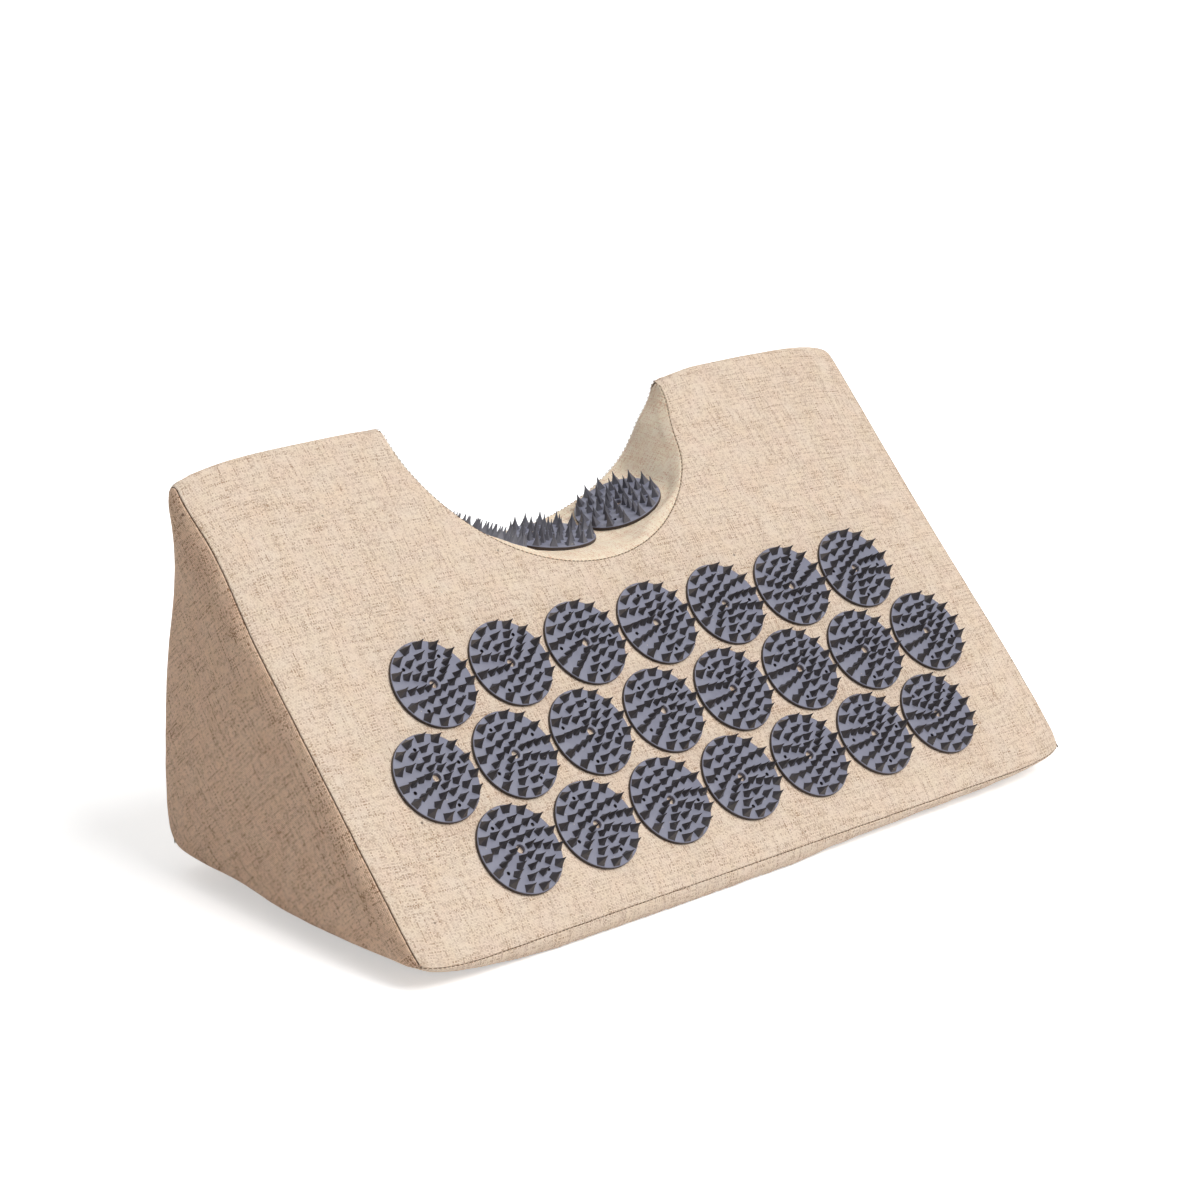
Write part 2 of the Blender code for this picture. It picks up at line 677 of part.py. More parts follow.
def build():
    stations_on_slope = slope_stations()
    stations_in_neck = neck_stations()
    bpy.context.view_layer.update()
    slope_pegs = peg_hole_cutter("slope_peg_holes", stations_on_slope)
    neck_pegs = peg_hole_cutter("neck_peg_holes", stations_in_neck)
    whole = cutter("whole_wedge", wedge_mesh("whole_wedge", cover_ring, 0.0))

    foam = body("foam_core", wedge_mesh("foam_core", foam_ring, COVER_INSET), FOAM)
    boolean(foam, recess_cutter("recess_in_foam", BACKED_INSET))

    wrap = sheet("wrap_panel", wrap_line, CLOTH)
    boolean(wrap, recess_cutter("recess_in_wrap", COVER_INSET))
    boolean(wrap, slope_pegs)
    sheet("bottom_panel", belly_cloth_line, CLOTH)
    add_end_panel("end_panel_left", -1)
    add_end_panel("end_panel_right", 1)
    add_liner(whole, neck_pegs)
    add_zip(wrap)
    add_discs(stations_on_slope + stations_in_neck)


build()
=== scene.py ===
# %% [markdown]
# # Acupressure neck wedge
#
# A foam wedge in a sewn linen cover. Its slope carries three rows of spiked plastic discs, and a round
# recess through the ridge, for the neck, carries three more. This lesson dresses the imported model: the
# model's solids stay where they are, and each one that a finer piece stands for is hidden behind it.

from math import atan2, cos, degrees, hypot, pi, radians, sin, tan

import bmesh
import bpy
import numpy as np
from mathutils import Matrix, Vector, noise
from mathutils.geometry import delaunay_2d_cdt


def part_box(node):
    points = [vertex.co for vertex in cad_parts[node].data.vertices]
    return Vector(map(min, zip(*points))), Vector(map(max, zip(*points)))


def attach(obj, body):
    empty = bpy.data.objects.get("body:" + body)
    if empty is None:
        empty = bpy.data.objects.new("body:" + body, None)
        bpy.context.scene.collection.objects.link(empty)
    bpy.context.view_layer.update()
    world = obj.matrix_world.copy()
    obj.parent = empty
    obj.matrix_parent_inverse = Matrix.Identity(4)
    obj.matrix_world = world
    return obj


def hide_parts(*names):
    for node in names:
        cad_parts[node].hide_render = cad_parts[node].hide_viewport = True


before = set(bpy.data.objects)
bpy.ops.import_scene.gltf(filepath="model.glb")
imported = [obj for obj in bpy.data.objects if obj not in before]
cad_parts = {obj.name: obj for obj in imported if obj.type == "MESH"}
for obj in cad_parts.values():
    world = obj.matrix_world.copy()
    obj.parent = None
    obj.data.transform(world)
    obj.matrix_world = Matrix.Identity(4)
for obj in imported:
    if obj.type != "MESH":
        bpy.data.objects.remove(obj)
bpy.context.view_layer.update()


# %% Functions that every object uses
def add_object(name, data):
    """A new object in the scene."""
    made = bpy.data.objects.new(name, data)
    bpy.context.scene.collection.objects.link(made)
    return made


def evaluated_mesh(item):
    """An object's shape after its modifiers, as a plain mesh."""
    bpy.context.view_layer.update()
    return bpy.data.meshes.new_from_object(item.evaluated_get(bpy.context.evaluated_depsgraph_get()))


def poly_line(name, points):
    """A curve of straight pieces through the points."""
    curve = bpy.data.curves.new(name, "CURVE")
    curve.dimensions = "3D"
    spline = curve.splines.new("POLY")
    spline.points.add(len(points) - 1)
    spline.points.foreach_set("co", np.column_stack((points, np.ones(len(points)))).ravel())
    return add_object(name, curve)


def mesh_in_order(name, bm):
    """The bmesh as a mesh, its corners rounded to 0.1 micron and sorted by place.

    A bevel or a weld numbers corners and faces differently each run, and a Boolean after it would then
    cut its faces differently.
    """
    points = np.array([vert.co for vert in bm.verts]).round(7) + 0.0
    order = np.lexsort(points.T)
    rank = np.argsort(order).tolist()
    bm.verts.index_update()
    faces = []
    for face in bm.faces:
        ring = [rank[vert.index] for vert in face.verts]
        first = ring.index(min(ring))
        faces.append(ring[first:] + ring[:first])
    bm.free()
    mesh = bpy.data.meshes.new(name)
    mesh.from_pydata(points[order].tolist(), [], sorted(faces))
    return mesh

# %% [markdown]
# ## The camera
#
# The camera stands to the front left of the wedge and a little above it. Its place and the directions of
# the picture's right and down sides were fitted to the discs' centre holes and the cover's corners, in an
# image of 1200 x 1200. The lens is long, so the wedge's far end is only a little smaller than its near end.

# %% Place the camera
IMAGE = 1200
FOCAL_PIXELS = 3349.17
SENSOR = 36.0
EYE = Vector((-1.003, -0.9776, 0.5746))
PICTURE_RIGHT = Vector((0.71900, -0.69343, 0.04685))
PICTURE_DOWN = Vector((-0.19001, -0.26096, -0.94647))


def place_camera():
    data = bpy.data.cameras.new("camera")
    data.sensor_width = SENSOR
    data.lens = FOCAL_PIXELS / IMAGE * SENSOR
    camera = add_object("camera", data)
    forward = PICTURE_RIGHT.cross(PICTURE_DOWN)
    turn = Matrix((PICTURE_RIGHT, -PICTURE_DOWN, -forward)).transposed()
    camera.matrix_world = Matrix.Translation(EYE) @ turn.to_4x4()
    bpy.context.scene.camera = camera
    return camera


camera = place_camera()
print("lens:", round(camera.data.lens, 1), "mm")

# %% [markdown]
# ## The shape of the stuffed cover
#
# Sewn over firm foam, linen lies taut: nearly flat on the slope, more crowned on the back and the belly,
# and drawn in to the seams. Such a surface follows a rule, so it is written as a function that gives the
# point of the cover for any place on the flat cloth. The panels, the lining and the seams all read these
# functions, so they meet.

# %% Sizes of the wedge
WIDTH = 0.400
DEPTH = 0.162
RISE = 0.159
CORNER_LIFT = 0.012
RIDGE_RADIUS = 0.0032
SLOPE_CROWN = 0.0012
BACK_CROWN = 0.0085
BACK_CROWN_AT_RIDGE = 0.0075
BACK_CROWN_AT_HEM = 0.0015
BACK_BOW_AT_ENDS = 0.0040
RIDGE_BOW_AT_ENDS = 0.0044
TOE_BOW = 0.0040
END_HEM_SAG = 0.0045
END_CROWN = 0.0046
END_CROWN_RUN = 0.0065
FRONT_RUN = 0.012
END_RUN = 0.035
RIDGE_END_RUN = 0.060
BACK_RUN = 0.045
TOE_RUN = 0.0055
TOE_RUN_AT_ENDS = 0.018
LONG_TOE_FROM = 0.010
LONG_TOE_TO = 0.075
BELLY_BACK_RUN = 0.040
BELLY_END_RUN = 0.080
BELLY_RIGHT_END_RUN = 0.108
ZIP_BAND = 0.018

SLOPE_ANGLE = atan2(RISE, DEPTH)
SLOPE_COS = cos(SLOPE_ANGLE)
SLOPE_SIN = sin(SLOPE_ANGLE)
RIDGE_SWEEP = pi / 2 + SLOPE_ANGLE
TOE_Y = -DEPTH / 2
print("slope:", round(degrees(SLOPE_ANGLE), 1), "degrees")


# %% Functions that every panel shares
def swell(distance, run):
    """Rise from 0 at a seam to 1 at the end of the run, levelling off there."""
    share = np.clip(distance / run, 0.0, 1.0)
    return 1.0 - (1.0 - share) ** 2


def ease(value, low, high):
    """A smooth step from 0 at low to 1 at high."""
    share = np.clip((value - low) / (high - low), 0.0, 1.0)
    return share * share * (3.0 - 2.0 * share)


def end_fullness(x):
    return swell(WIDTH / 2 - np.abs(x), END_RUN)


def ridge_centre(x):
    """The middle of the ridge's round, in y and z."""
    crown = SLOPE_CROWN * end_fullness(x)
    near_end = swell(WIDTH / 2 - np.abs(x), RIDGE_END_RUN)
    back = RIDGE_BOW_AT_ENDS + (BACK_CROWN_AT_RIDGE - RIDGE_BOW_AT_ENDS) * near_end
    up = (DEPTH + back + SLOPE_SIN * crown) / SLOPE_COS
    inwards = Vector((-SLOPE_COS, -SLOPE_SIN - 1.0)).normalized()
    reach = RIDGE_RADIUS / sin((pi / 2 - SLOPE_ANGLE) / 2)
    y = TOE_Y + SLOPE_COS * up - SLOPE_SIN * crown + inwards.x * reach
    z = CORNER_LIFT + SLOPE_SIN * up + SLOPE_COS * crown + inwards.y * reach
    return y, z


def slope_reach(x):
    """How far up the slope, from the toe corner, the cloth lies before the ridge rounds over."""
    y, z = ridge_centre(x)
    y = y - RIDGE_RADIUS * SLOPE_SIN
    z = z + RIDGE_RADIUS * SLOPE_COS
    return (y - TOE_Y) * SLOPE_COS + (z - CORNER_LIFT) * SLOPE_SIN


# %% [markdown]
# The wrap is one length of cloth from the toe seam up the slope, over the ridge and down the back. A place
# on it is `x` along the width and `t`, the length of cloth from the toe seam at the middle of the width.

# %% The wrap as a function of the flat cloth
SLOPE_CLOTH = float(slope_reach(0.0)) + TOE_BOW
RIDGE_CLOTH = RIDGE_RADIUS * RIDGE_SWEEP
BACK_CLOTH = float(ridge_centre(0.0)[1]) - CORNER_LIFT
WRAP_CLOTH = SLOPE_CLOTH + RIDGE_CLOTH + BACK_CLOTH


def slope_place(x, share):
    bow = TOE_BOW * end_fullness(x)
    run = share * (slope_reach(x) + bow)
    crown = SLOPE_CROWN * end_fullness(x) * swell(run, FRONT_RUN)
    up = run - bow
    return TOE_Y + SLOPE_COS * up - SLOPE_SIN * crown, CORNER_LIFT + SLOPE_SIN * up + SLOPE_COS * crown


def ridge_place(x, share):
    y, z = ridge_centre(x)
    turn = RIDGE_SWEEP * (1.0 - share)
    return y + RIDGE_RADIUS * np.cos(turn), z + RIDGE_RADIUS * np.sin(turn)


def back_place(x, share):
    y, z = ridge_centre(x)
    top = y + RIDGE_RADIUS - DEPTH / 2
    height = z - CORNER_LIFT
    level = 1.0 - share
    above = level * height
    full = end_fullness(x)
    most = BACK_BOW_AT_ENDS + (BACK_CROWN - BACK_BOW_AT_ENDS) * full
    hem = BACK_CROWN_AT_HEM * full
    stretch = np.where(above < ZIP_BAND, above / ZIP_BAND * swell(ZIP_BAND, BACK_RUN), swell(above, BACK_RUN))
    out = hem + (most - hem) * stretch + (top - most) * level ** 2
    return DEPTH / 2 + out, CORNER_LIFT + above


def wrap_surface(x, t):
    share_up = t / SLOPE_CLOTH
    share_over = (t - SLOPE_CLOTH) / RIDGE_CLOTH
    share_down = (t - SLOPE_CLOTH - RIDGE_CLOTH) / BACK_CLOTH
    on_slope, on_ridge = share_up <= 1.0, share_over <= 1.0
    places = [slope_place(x, share_up), ridge_place(x, share_over), back_place(x, share_down)]
    y = np.where(on_slope, places[0][0], np.where(on_ridge, places[1][0], places[2][0]))
    z = np.where(on_slope, places[0][1], np.where(on_ridge, places[1][1], places[2][1]))
    return np.column_stack((x, y, z))


print("wrap:", round(1000 * WRAP_CLOTH), "mm from the toe seam to the hem")

# %% [markdown]
# The bottom panel hangs from the hem to the floor, lies flat on it, and turns up to the toe seam. Towards
# the ends it lifts off the floor, because the end seams hold it.

# %% The bottom panel as a function of the flat cloth
BELLY_BACK_CLOTH = hypot(BELLY_BACK_RUN, CORNER_LIFT)
BELLY_TOE_CLOTH = 0.0125
BELLY_FLAT_CLOTH = DEPTH + BACK_CROWN_AT_HEM + TOE_BOW * SLOPE_COS - BELLY_BACK_RUN - TOE_RUN
BOTTOM_CLOTH = BELLY_BACK_CLOTH + BELLY_FLAT_CLOTH + BELLY_TOE_CLOTH


def belly_fullness(x):
    """From 0 at the ends, where the belly is held up, to 1 where it lies on the floor."""
    run = BELLY_END_RUN + (BELLY_RIGHT_END_RUN - BELLY_END_RUN) * ease(x, LONG_TOE_FROM, LONG_TOE_TO)
    return swell(WIDTH / 2 - np.abs(x), run)


def toe_of(x):
    """The toe seam's y and z, and how far back from it the belly turns up."""
    bow = TOE_BOW * end_fullness(x)
    short = belly_fullness(x) * (1.0 - ease(x, LONG_TOE_FROM, LONG_TOE_TO))
    toe_run = TOE_RUN_AT_ENDS + (TOE_RUN - TOE_RUN_AT_ENDS) * short
    return TOE_Y - SLOPE_COS * bow, CORNER_LIFT - SLOPE_SIN * bow, toe_run


def free_hem(x, run):
    """The height of the belly if it only hung between its hem and the toe, and how full it is."""
    toe_y, toe_z, _ = toe_of(x)
    share = run / (hem_depth(x) - toe_y)
    full = belly_fullness(x)
    return CORNER_LIFT + (toe_z - CORNER_LIFT) * share - 4 * END_HEM_SAG * share * (1 - share), full


def hem_depth(x):
    return DEPTH / 2 + BACK_CROWN_AT_HEM * end_fullness(x)


def toe_floor(x):
    """The height from which the belly turns up to the toe seam."""
    toe_y, _, toe_run = toe_of(x)
    hanging, full = free_hem(x, hem_depth(x) - toe_y - toe_run)
    return hanging * (1 - full)


def bottom_surface(x, b):
    toe_y, toe_z, toe_run = toe_of(x)
    flat_run = hem_depth(x) - toe_y - toe_run - BELLY_BACK_RUN
    back_share = np.clip(b / BELLY_BACK_CLOTH, -1.0, 1.0)
    flat_share = np.clip((b - BELLY_BACK_CLOTH) / BELLY_FLAT_CLOTH, 0.0, 1.0)
    toe_share = np.clip((b - BELLY_BACK_CLOTH - BELLY_FLAT_CLOTH) / BELLY_TOE_CLOTH, 0.0, 1.2)
    run = back_share * BELLY_BACK_RUN + flat_share * flat_run
    hanging, full = free_hem(x, run)
    turn = toe_share * pi / 2
    low = toe_floor(x)
    y = np.where(toe_share > 0.0, toe_y + toe_run * (1 - np.sin(turn)), hem_depth(x) - run)
    lying = hanging * (1 - full * swell(run, BELLY_BACK_RUN))
    z = np.where(toe_share > 0.0, low + (toe_z - low) * (1 - np.cos(turn)), lying)
    return np.column_stack((x, y, z))


print("bottom:", round(1000 * BOTTOM_CLOTH), "mm from the hem to the toe seam")

# %% [markdown]
# The recess is a round cut that runs through the wedge with a slight fall to the back, where its edge is
# rounded over. Its outline across the width is an ellipse that flares a little towards the ridge. Where a
# stiff disc lies on the lining, the lining is pressed flat under it, so the outline has three flats
# there, which fade out towards the two recess seams.

# %% The outline of the neck recess
RECESS_RADIUS = 0.0829
RECESS_CENTRE_PAST_RIDGE = 0.0060
RECESS_FLARE = 0.0018
RECESS_FLARE_FROM = radians(52)
RECESS_FALL = radians(2.2)
RECESS_BACK_ROUND = 0.0012
RECESS_ROUND_FROM = 0.081
RECESS_ROUND_TO = 0.090
RECESS_RIM_ABOVE = 0.010
RECESS_SAMPLES = 1441
DISC_RADIUS = 0.0205
DISC_LIFT = 0.0003
NECK_DISC_GAP = 0.0020
NECK_DISC_PAST_BACK = 0.0030
NECK_TURNS = (20, 75, 130)
FLAT_FADE = 0.008
FLAT_ROUNDING = 0.0012
FLAT_SAMPLES = 9
FLAT_BEHIND_FRONT = (0.001, 0.0085)
FLAT_BEFORE_BACK = (0.0005, 0.0045)
LINING_CROWN = 0.0016
LINING_CROWN_LEAST_RUN = 0.004

RECESS_HALF_HEIGHT = RECESS_RADIUS * SLOPE_SIN
RECESS_CENTRE_Z = CORNER_LIFT + (hypot(RISE, DEPTH) + RECESS_CENTRE_PAST_RIDGE) * SLOPE_SIN
RECESS_FRONT_Y = TOE_Y + (RECESS_CENTRE_Z - RECESS_HALF_HEIGHT - CORNER_LIFT) / tan(SLOPE_ANGLE)
NECK_PITCH = 2 * DISC_RADIUS + NECK_DISC_GAP
NECK_ROW_Y = DEPTH / 2 + NECK_DISC_PAST_BACK - DISC_RADIUS


def recess_drop(y):
    """How far the recess has come down at a depth y, below its outline at the front."""
    rounded = RECESS_BACK_ROUND * ease(y, RECESS_ROUND_FROM, RECESS_ROUND_TO)
    return tan(RECESS_FALL) * (y - RECESS_FRONT_Y) + rounded


def recess_line():
    """Places along the outline, from the left rim over the bottom to the right rim: arc, x and z."""
    turn = np.linspace(-pi / 2, pi / 2, RECESS_SAMPLES)
    flare = RECESS_FLARE * ease(np.abs(turn), RECESS_FLARE_FROM, pi / 2)
    x = (RECESS_RADIUS + flare) * np.sin(turn)
    z = RECESS_CENTRE_Z - RECESS_HALF_HEIGHT * np.cos(turn)
    x = np.concatenate(([x[0]], x, [x[-1]]))
    z = np.concatenate(([z[0] + RECESS_RIM_ABOVE], z, [z[-1] + RECESS_RIM_ABOVE]))
    arc = np.concatenate(([0.0], np.cumsum(np.hypot(np.diff(x), np.diff(z)))))
    return arc - arc[-1] / 2, x, z


RECESS_ARC, RECESS_X, RECESS_Z = recess_line()


def recess_point(arc):
    return np.interp(arc, RECESS_ARC, RECESS_X), np.interp(arc, RECESS_ARC, RECESS_Z)


def recess_seat(index):
    """Where a neck disc's middle lies on the outline, and the direction of the lining there."""
    arc = (index - (len(NECK_TURNS) - 1) / 2) * NECK_PITCH
    x, z = recess_point(arc)
    x_on, z_on = recess_point(arc + DISC_LIFT)
    x_off, z_off = recess_point(arc - DISC_LIFT)
    along = Vector((float(x_on - x_off), 0.0, float(z_on - z_off))).normalized()
    return arc, Vector((float(x), 0.0, float(z))), along


def recess_flats():
    """How far each place of the outline moves to lie on the flat under its disc."""
    shift = np.zeros((len(RECESS_ARC), 2))
    known = np.zeros(len(RECESS_ARC), bool)
    for index in range(len(NECK_TURNS)):
        arc, seat, along = recess_seat(index)
        near = np.abs(RECESS_ARC - arc) <= DISC_RADIUS
        flat_x = seat.x + along.x * (RECESS_ARC[near] - arc)
        flat_z = seat.z + along.z * (RECESS_ARC[near] - arc)
        shift[near] = np.column_stack((flat_x - RECESS_X[near], flat_z - RECESS_Z[near]))
        known |= near
    for side in (0, 1):
        shift[:, side] = np.interp(RECESS_ARC, RECESS_ARC[known], shift[known, side])
    beyond = np.maximum(np.abs(RECESS_ARC) - NECK_PITCH * (len(NECK_TURNS) - 1) / 2 - DISC_RADIUS, 0.0)
    shift *= np.exp(-(beyond / FLAT_FADE) ** 2)[:, None]
    spread = np.exp(-(np.linspace(-2, 2, FLAT_SAMPLES)) ** 2)
    offsets = np.linspace(-FLAT_ROUNDING, FLAT_ROUNDING, FLAT_SAMPLES)
    rounded = np.zeros_like(shift)
    for offset, weight in zip(offsets, spread / spread.sum()):
        for side in (0, 1):
            rounded[:, side] += weight * np.interp(RECESS_ARC + offset, RECESS_ARC, shift[:, side])
    return rounded


RECESS_FLATS = recess_flats()
print("flats press the lining in by up to", round(1000 * float(np.abs(RECESS_FLATS).max()), 2), "mm")


# %% Where the recess cuts the wrap
HALVINGS = 40


def plain_height(points):
    return points[:, 2]


def recess_height(points):
    """The height on the recess's front outline that a point of the cover lies at."""
    return points[:, 2] + recess_drop(points[:, 1])


def place_on_wrap(height, x, level, low, high):
    """The t between low and high at which the wrap passes the level. It rises or falls all the way."""
    rising = height(wrap_surface(x, high)) > height(wrap_surface(x, low))
    for _ in range(HALVINGS):
        middle = (low + high) / 2
        under = (height(wrap_surface(x, middle)) < level) == rising
        low = np.where(under, middle, low)
        high = np.where(under, high, middle)
    return (low + high) / 2


RIDGE_TOP_T = SLOPE_CLOTH + RIDGE_RADIUS * (SLOPE_ANGLE + RECESS_FALL)
RECESS_STEP = 0.0026


def recess_half_arc():
    """How far from the bottom the outline reaches the top of the ridge."""
    low, high = 0.0, RECESS_ARC[-1]
    for _ in range(HALVINGS):
        middle = (low + high) / 2
        x, z = recess_point(middle)
        top = recess_height(wrap_surface(np.array([float(x)]), np.array([RIDGE_TOP_T])))[0]
        low, high = (middle, high) if z < top else (low, middle)
    return (low + high) / 2


RECESS_HALF_ARC = recess_half_arc()
RECESS_PLACES = np.linspace(-RECESS_HALF_ARC, RECESS_HALF_ARC, 1 + 2 * round(RECESS_HALF_ARC / RECESS_STEP))


def recess_cut(places):
    """For places along the outline: x, and the t at which it cuts the slope and the back."""
    x, z = recess_point(places)
    top = np.full(len(x), RIDGE_TOP_T)
    front = place_on_wrap(recess_height, x, z, np.zeros(len(x)), top)
    back = place_on_wrap(recess_height, x, z, top, np.full(len(x), WRAP_CLOTH - ZIP_BAND))
    return x, front, back


CUT_X, CUT_FRONT, CUT_BACK = recess_cut(RECESS_PLACES)
CUT_FRONT_Y = wrap_surface(CUT_X, CUT_FRONT)[:, 1]
CUT_BACK_Y = wrap_surface(CUT_X, CUT_BACK)[:, 1]
print("lining:", round(2000 * RECESS_HALF_ARC), "mm long")


def lining_crown(in_front, y):
    """The discs press into the foam, so the strip between them and the front seam stands up."""
    run = NECK_ROW_Y - DISC_RADIUS - in_front
    share = np.clip((y - in_front) / np.maximum(run, LINING_CROWN_LEAST_RUN), 0.0, 1.0)
    return LINING_CROWN * np.sin(pi * share) * ease(run, 0.0, 2 * LINING_CROWN_LEAST_RUN)


def lining_surface(arc, y):
    """The lining at an arc from the bottom of the recess and a depth y."""
    x, z = recess_point(arc)
    in_front = np.interp(arc, RECESS_PLACES, CUT_FRONT_Y)
    behind = np.interp(arc, RECESS_PLACES, CUT_BACK_Y)
    flat = ease(y - in_front, *FLAT_BEHIND_FRONT) * ease(behind - y, *FLAT_BEFORE_BACK)
    x = x + flat * np.interp(arc, RECESS_ARC, RECESS_FLATS[:, 0])
    z = z + flat * np.interp(arc, RECESS_ARC, RECESS_FLATS[:, 1])
    return np.column_stack((x, y, z - recess_drop(y) + lining_crown(in_front, y)))


# %% [markdown]
# ## Where the discs sit
#
# The three rows on the slope stand closer than their own height, each row shifted by half a pitch, and
# each disc was pinned on with its own turn. A disc's place is a matrix: the slope's frame, its column and
# row, and its turn. The places are compared with the boxes of the model's own solids.

# %% Places of all the discs
DISC_PLATE = 0.0015
SPIKE_HEIGHT = 0.0062
DISC_GAP = 0.0028
ROW_NESTING = 0.0014
FIELD_TOE_MARGIN = 0.0132
FIELD_SHIFT = 0.0040
ROWS = (
    ("lower", (215, 110, 345, 350, 170, 180, 40)),
    ("middle", (195, 115, 70, 210, 300, 70, 75, 65)),
    ("upper", (50, 55, 90, 190, 355, 150, 355)),
)


def disc_places():
    places = {}
    slope_frame = Matrix.Translation((0.0, TOE_Y, CORNER_LIFT)) @ Matrix.Rotation(SLOPE_ANGLE, 4, "X")
    for row, (row_name, turns) in enumerate(ROWS):
        for index, turn in enumerate(turns):
            across = FIELD_SHIFT + (index - (len(turns) - 1) / 2) * (2 * DISC_RADIUS + DISC_GAP)
            up = DISC_RADIUS + FIELD_TOE_MARGIN + row * (2 * DISC_RADIUS - ROW_NESTING)
            seat = slope_frame @ Matrix.Translation((across, up, SLOPE_CROWN))
            places[f"{row_name}_{index + 1}"] = seat @ Matrix.Rotation(radians(turn), 4, "Z")
    for index, turn in enumerate(NECK_TURNS):
        _, seat, along = recess_seat(index)
        seat.y = NECK_ROW_Y
        seat.z -= tan(RECESS_FALL) * (NECK_ROW_Y - RECESS_FRONT_Y)
        lean = Matrix.Rotation(-RECESS_FALL, 4, "X") @ Matrix.Rotation(-atan2(along.z, along.x), 4, "Y")
        turned = Matrix.Rotation(radians(turn), 4, "Z")
        places[f"neck_{index + 1}"] = Matrix.Translation(seat) @ lean @ turned
    return places


DISC_PLACES = disc_places()


def farthest_from_solid():
    """The largest distance between a disc's middle here and the middle of its solid's box."""
    most = 0.0
    for name, place in DISC_PLACES.items():
        low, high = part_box("disc_" + name)
        middle = place @ Vector((0.0, 0.0, DISC_LIFT + (DISC_PLATE + SPIKE_HEIGHT) / 2))
        most = max(most, (middle - (low + high) / 2).length)
    return most


print(len(DISC_PLACES), "discs, within", round(1000 * farthest_from_solid(), 1), "mm of their solids")

# %% [markdown]
# ## Shader groups
#
# Cloth of one weave shows in five pieces, and a worn surface in several more. So the weave and the wear
# are node groups, built once and placed in each material with its own values. They put out only colours,
# masks and heights. The shaders stay in the materials.


# %% Helpers for node trees
class Tree:
    """Adds nodes to a tree and links sockets, values or colours to their inputs."""

    def __init__(self, tree):
        self.tree = tree

    def add(self, kind, inputs=None, **settings):
        node = self.tree.nodes.new(kind)
        for key, value in settings.items():
            setattr(node, key, value)
        return self.feed(node, inputs or {})

    def feed(self, node, inputs):
        for key, value in inputs.items():
            if isinstance(value, bpy.types.NodeSocket):
                self.tree.links.new(value, node.inputs[key])
            else:
                node.inputs[key].default_value = value
        return node

    def math(self, operation, first, second=0.0, third=0.0, clamp=False):
        node = self.add("ShaderNodeMath", {0: first, 1: second, 2: third}, operation=operation)
        node.use_clamp = clamp
        return node.outputs[0]

    def mix(self, share, first, second, blend="MIX"):
        """Mix two colours. Each is a socket or red, green and blue."""
        first, second = (colour if isinstance(colour, bpy.types.NodeSocket) else (*colour, 1.0)
                         for colour in (first, second))
        node = self.add("ShaderNodeMix", {0: share, 6: first, 7: second}, data_type="RGBA")
        node.blend_type = blend
        return node.outputs[2]

    def noise(self, place, scale, detail=2.0, roughness=0.5):
        node = self.add("ShaderNodeTexNoise",
                        {"Vector": place, "Scale": scale, "Detail": detail, "Roughness": roughness})
        return node.outputs["Fac"]


def new_group(name, kind, inputs, outputs):
    """A node group with named inputs, each with its default: its tree, inputs and output node."""
    group = bpy.data.node_groups.new(name, kind)
    for label, socket, value in inputs:
        made = group.interface.new_socket(name=label, in_out="INPUT", socket_type=socket)
        if value is not None:
            made.default_value = value
    for label, socket in outputs:
        group.interface.new_socket(name=label, in_out="OUTPUT", socket_type=socket)
    tree = Tree(group)
    given = {socket.name: socket for socket in tree.add("NodeGroupInput").outputs if socket.name}
    return group, tree, given, tree.add("NodeGroupOutput")


# %% [markdown]
# Plain weave is a chequer of crossings: at every second one the warp yarn lies on top, and at the others
# the weft. Each yarn is round, dips under its neighbours, and changes in tone and thickness along its
# length, which are the slubs of natural linen. A few dark flecks of stem are left in the yarn. The scales
# of the noises count waves in a metre of cloth.

# %% The linen weave
YARN_SWAY = 1.1


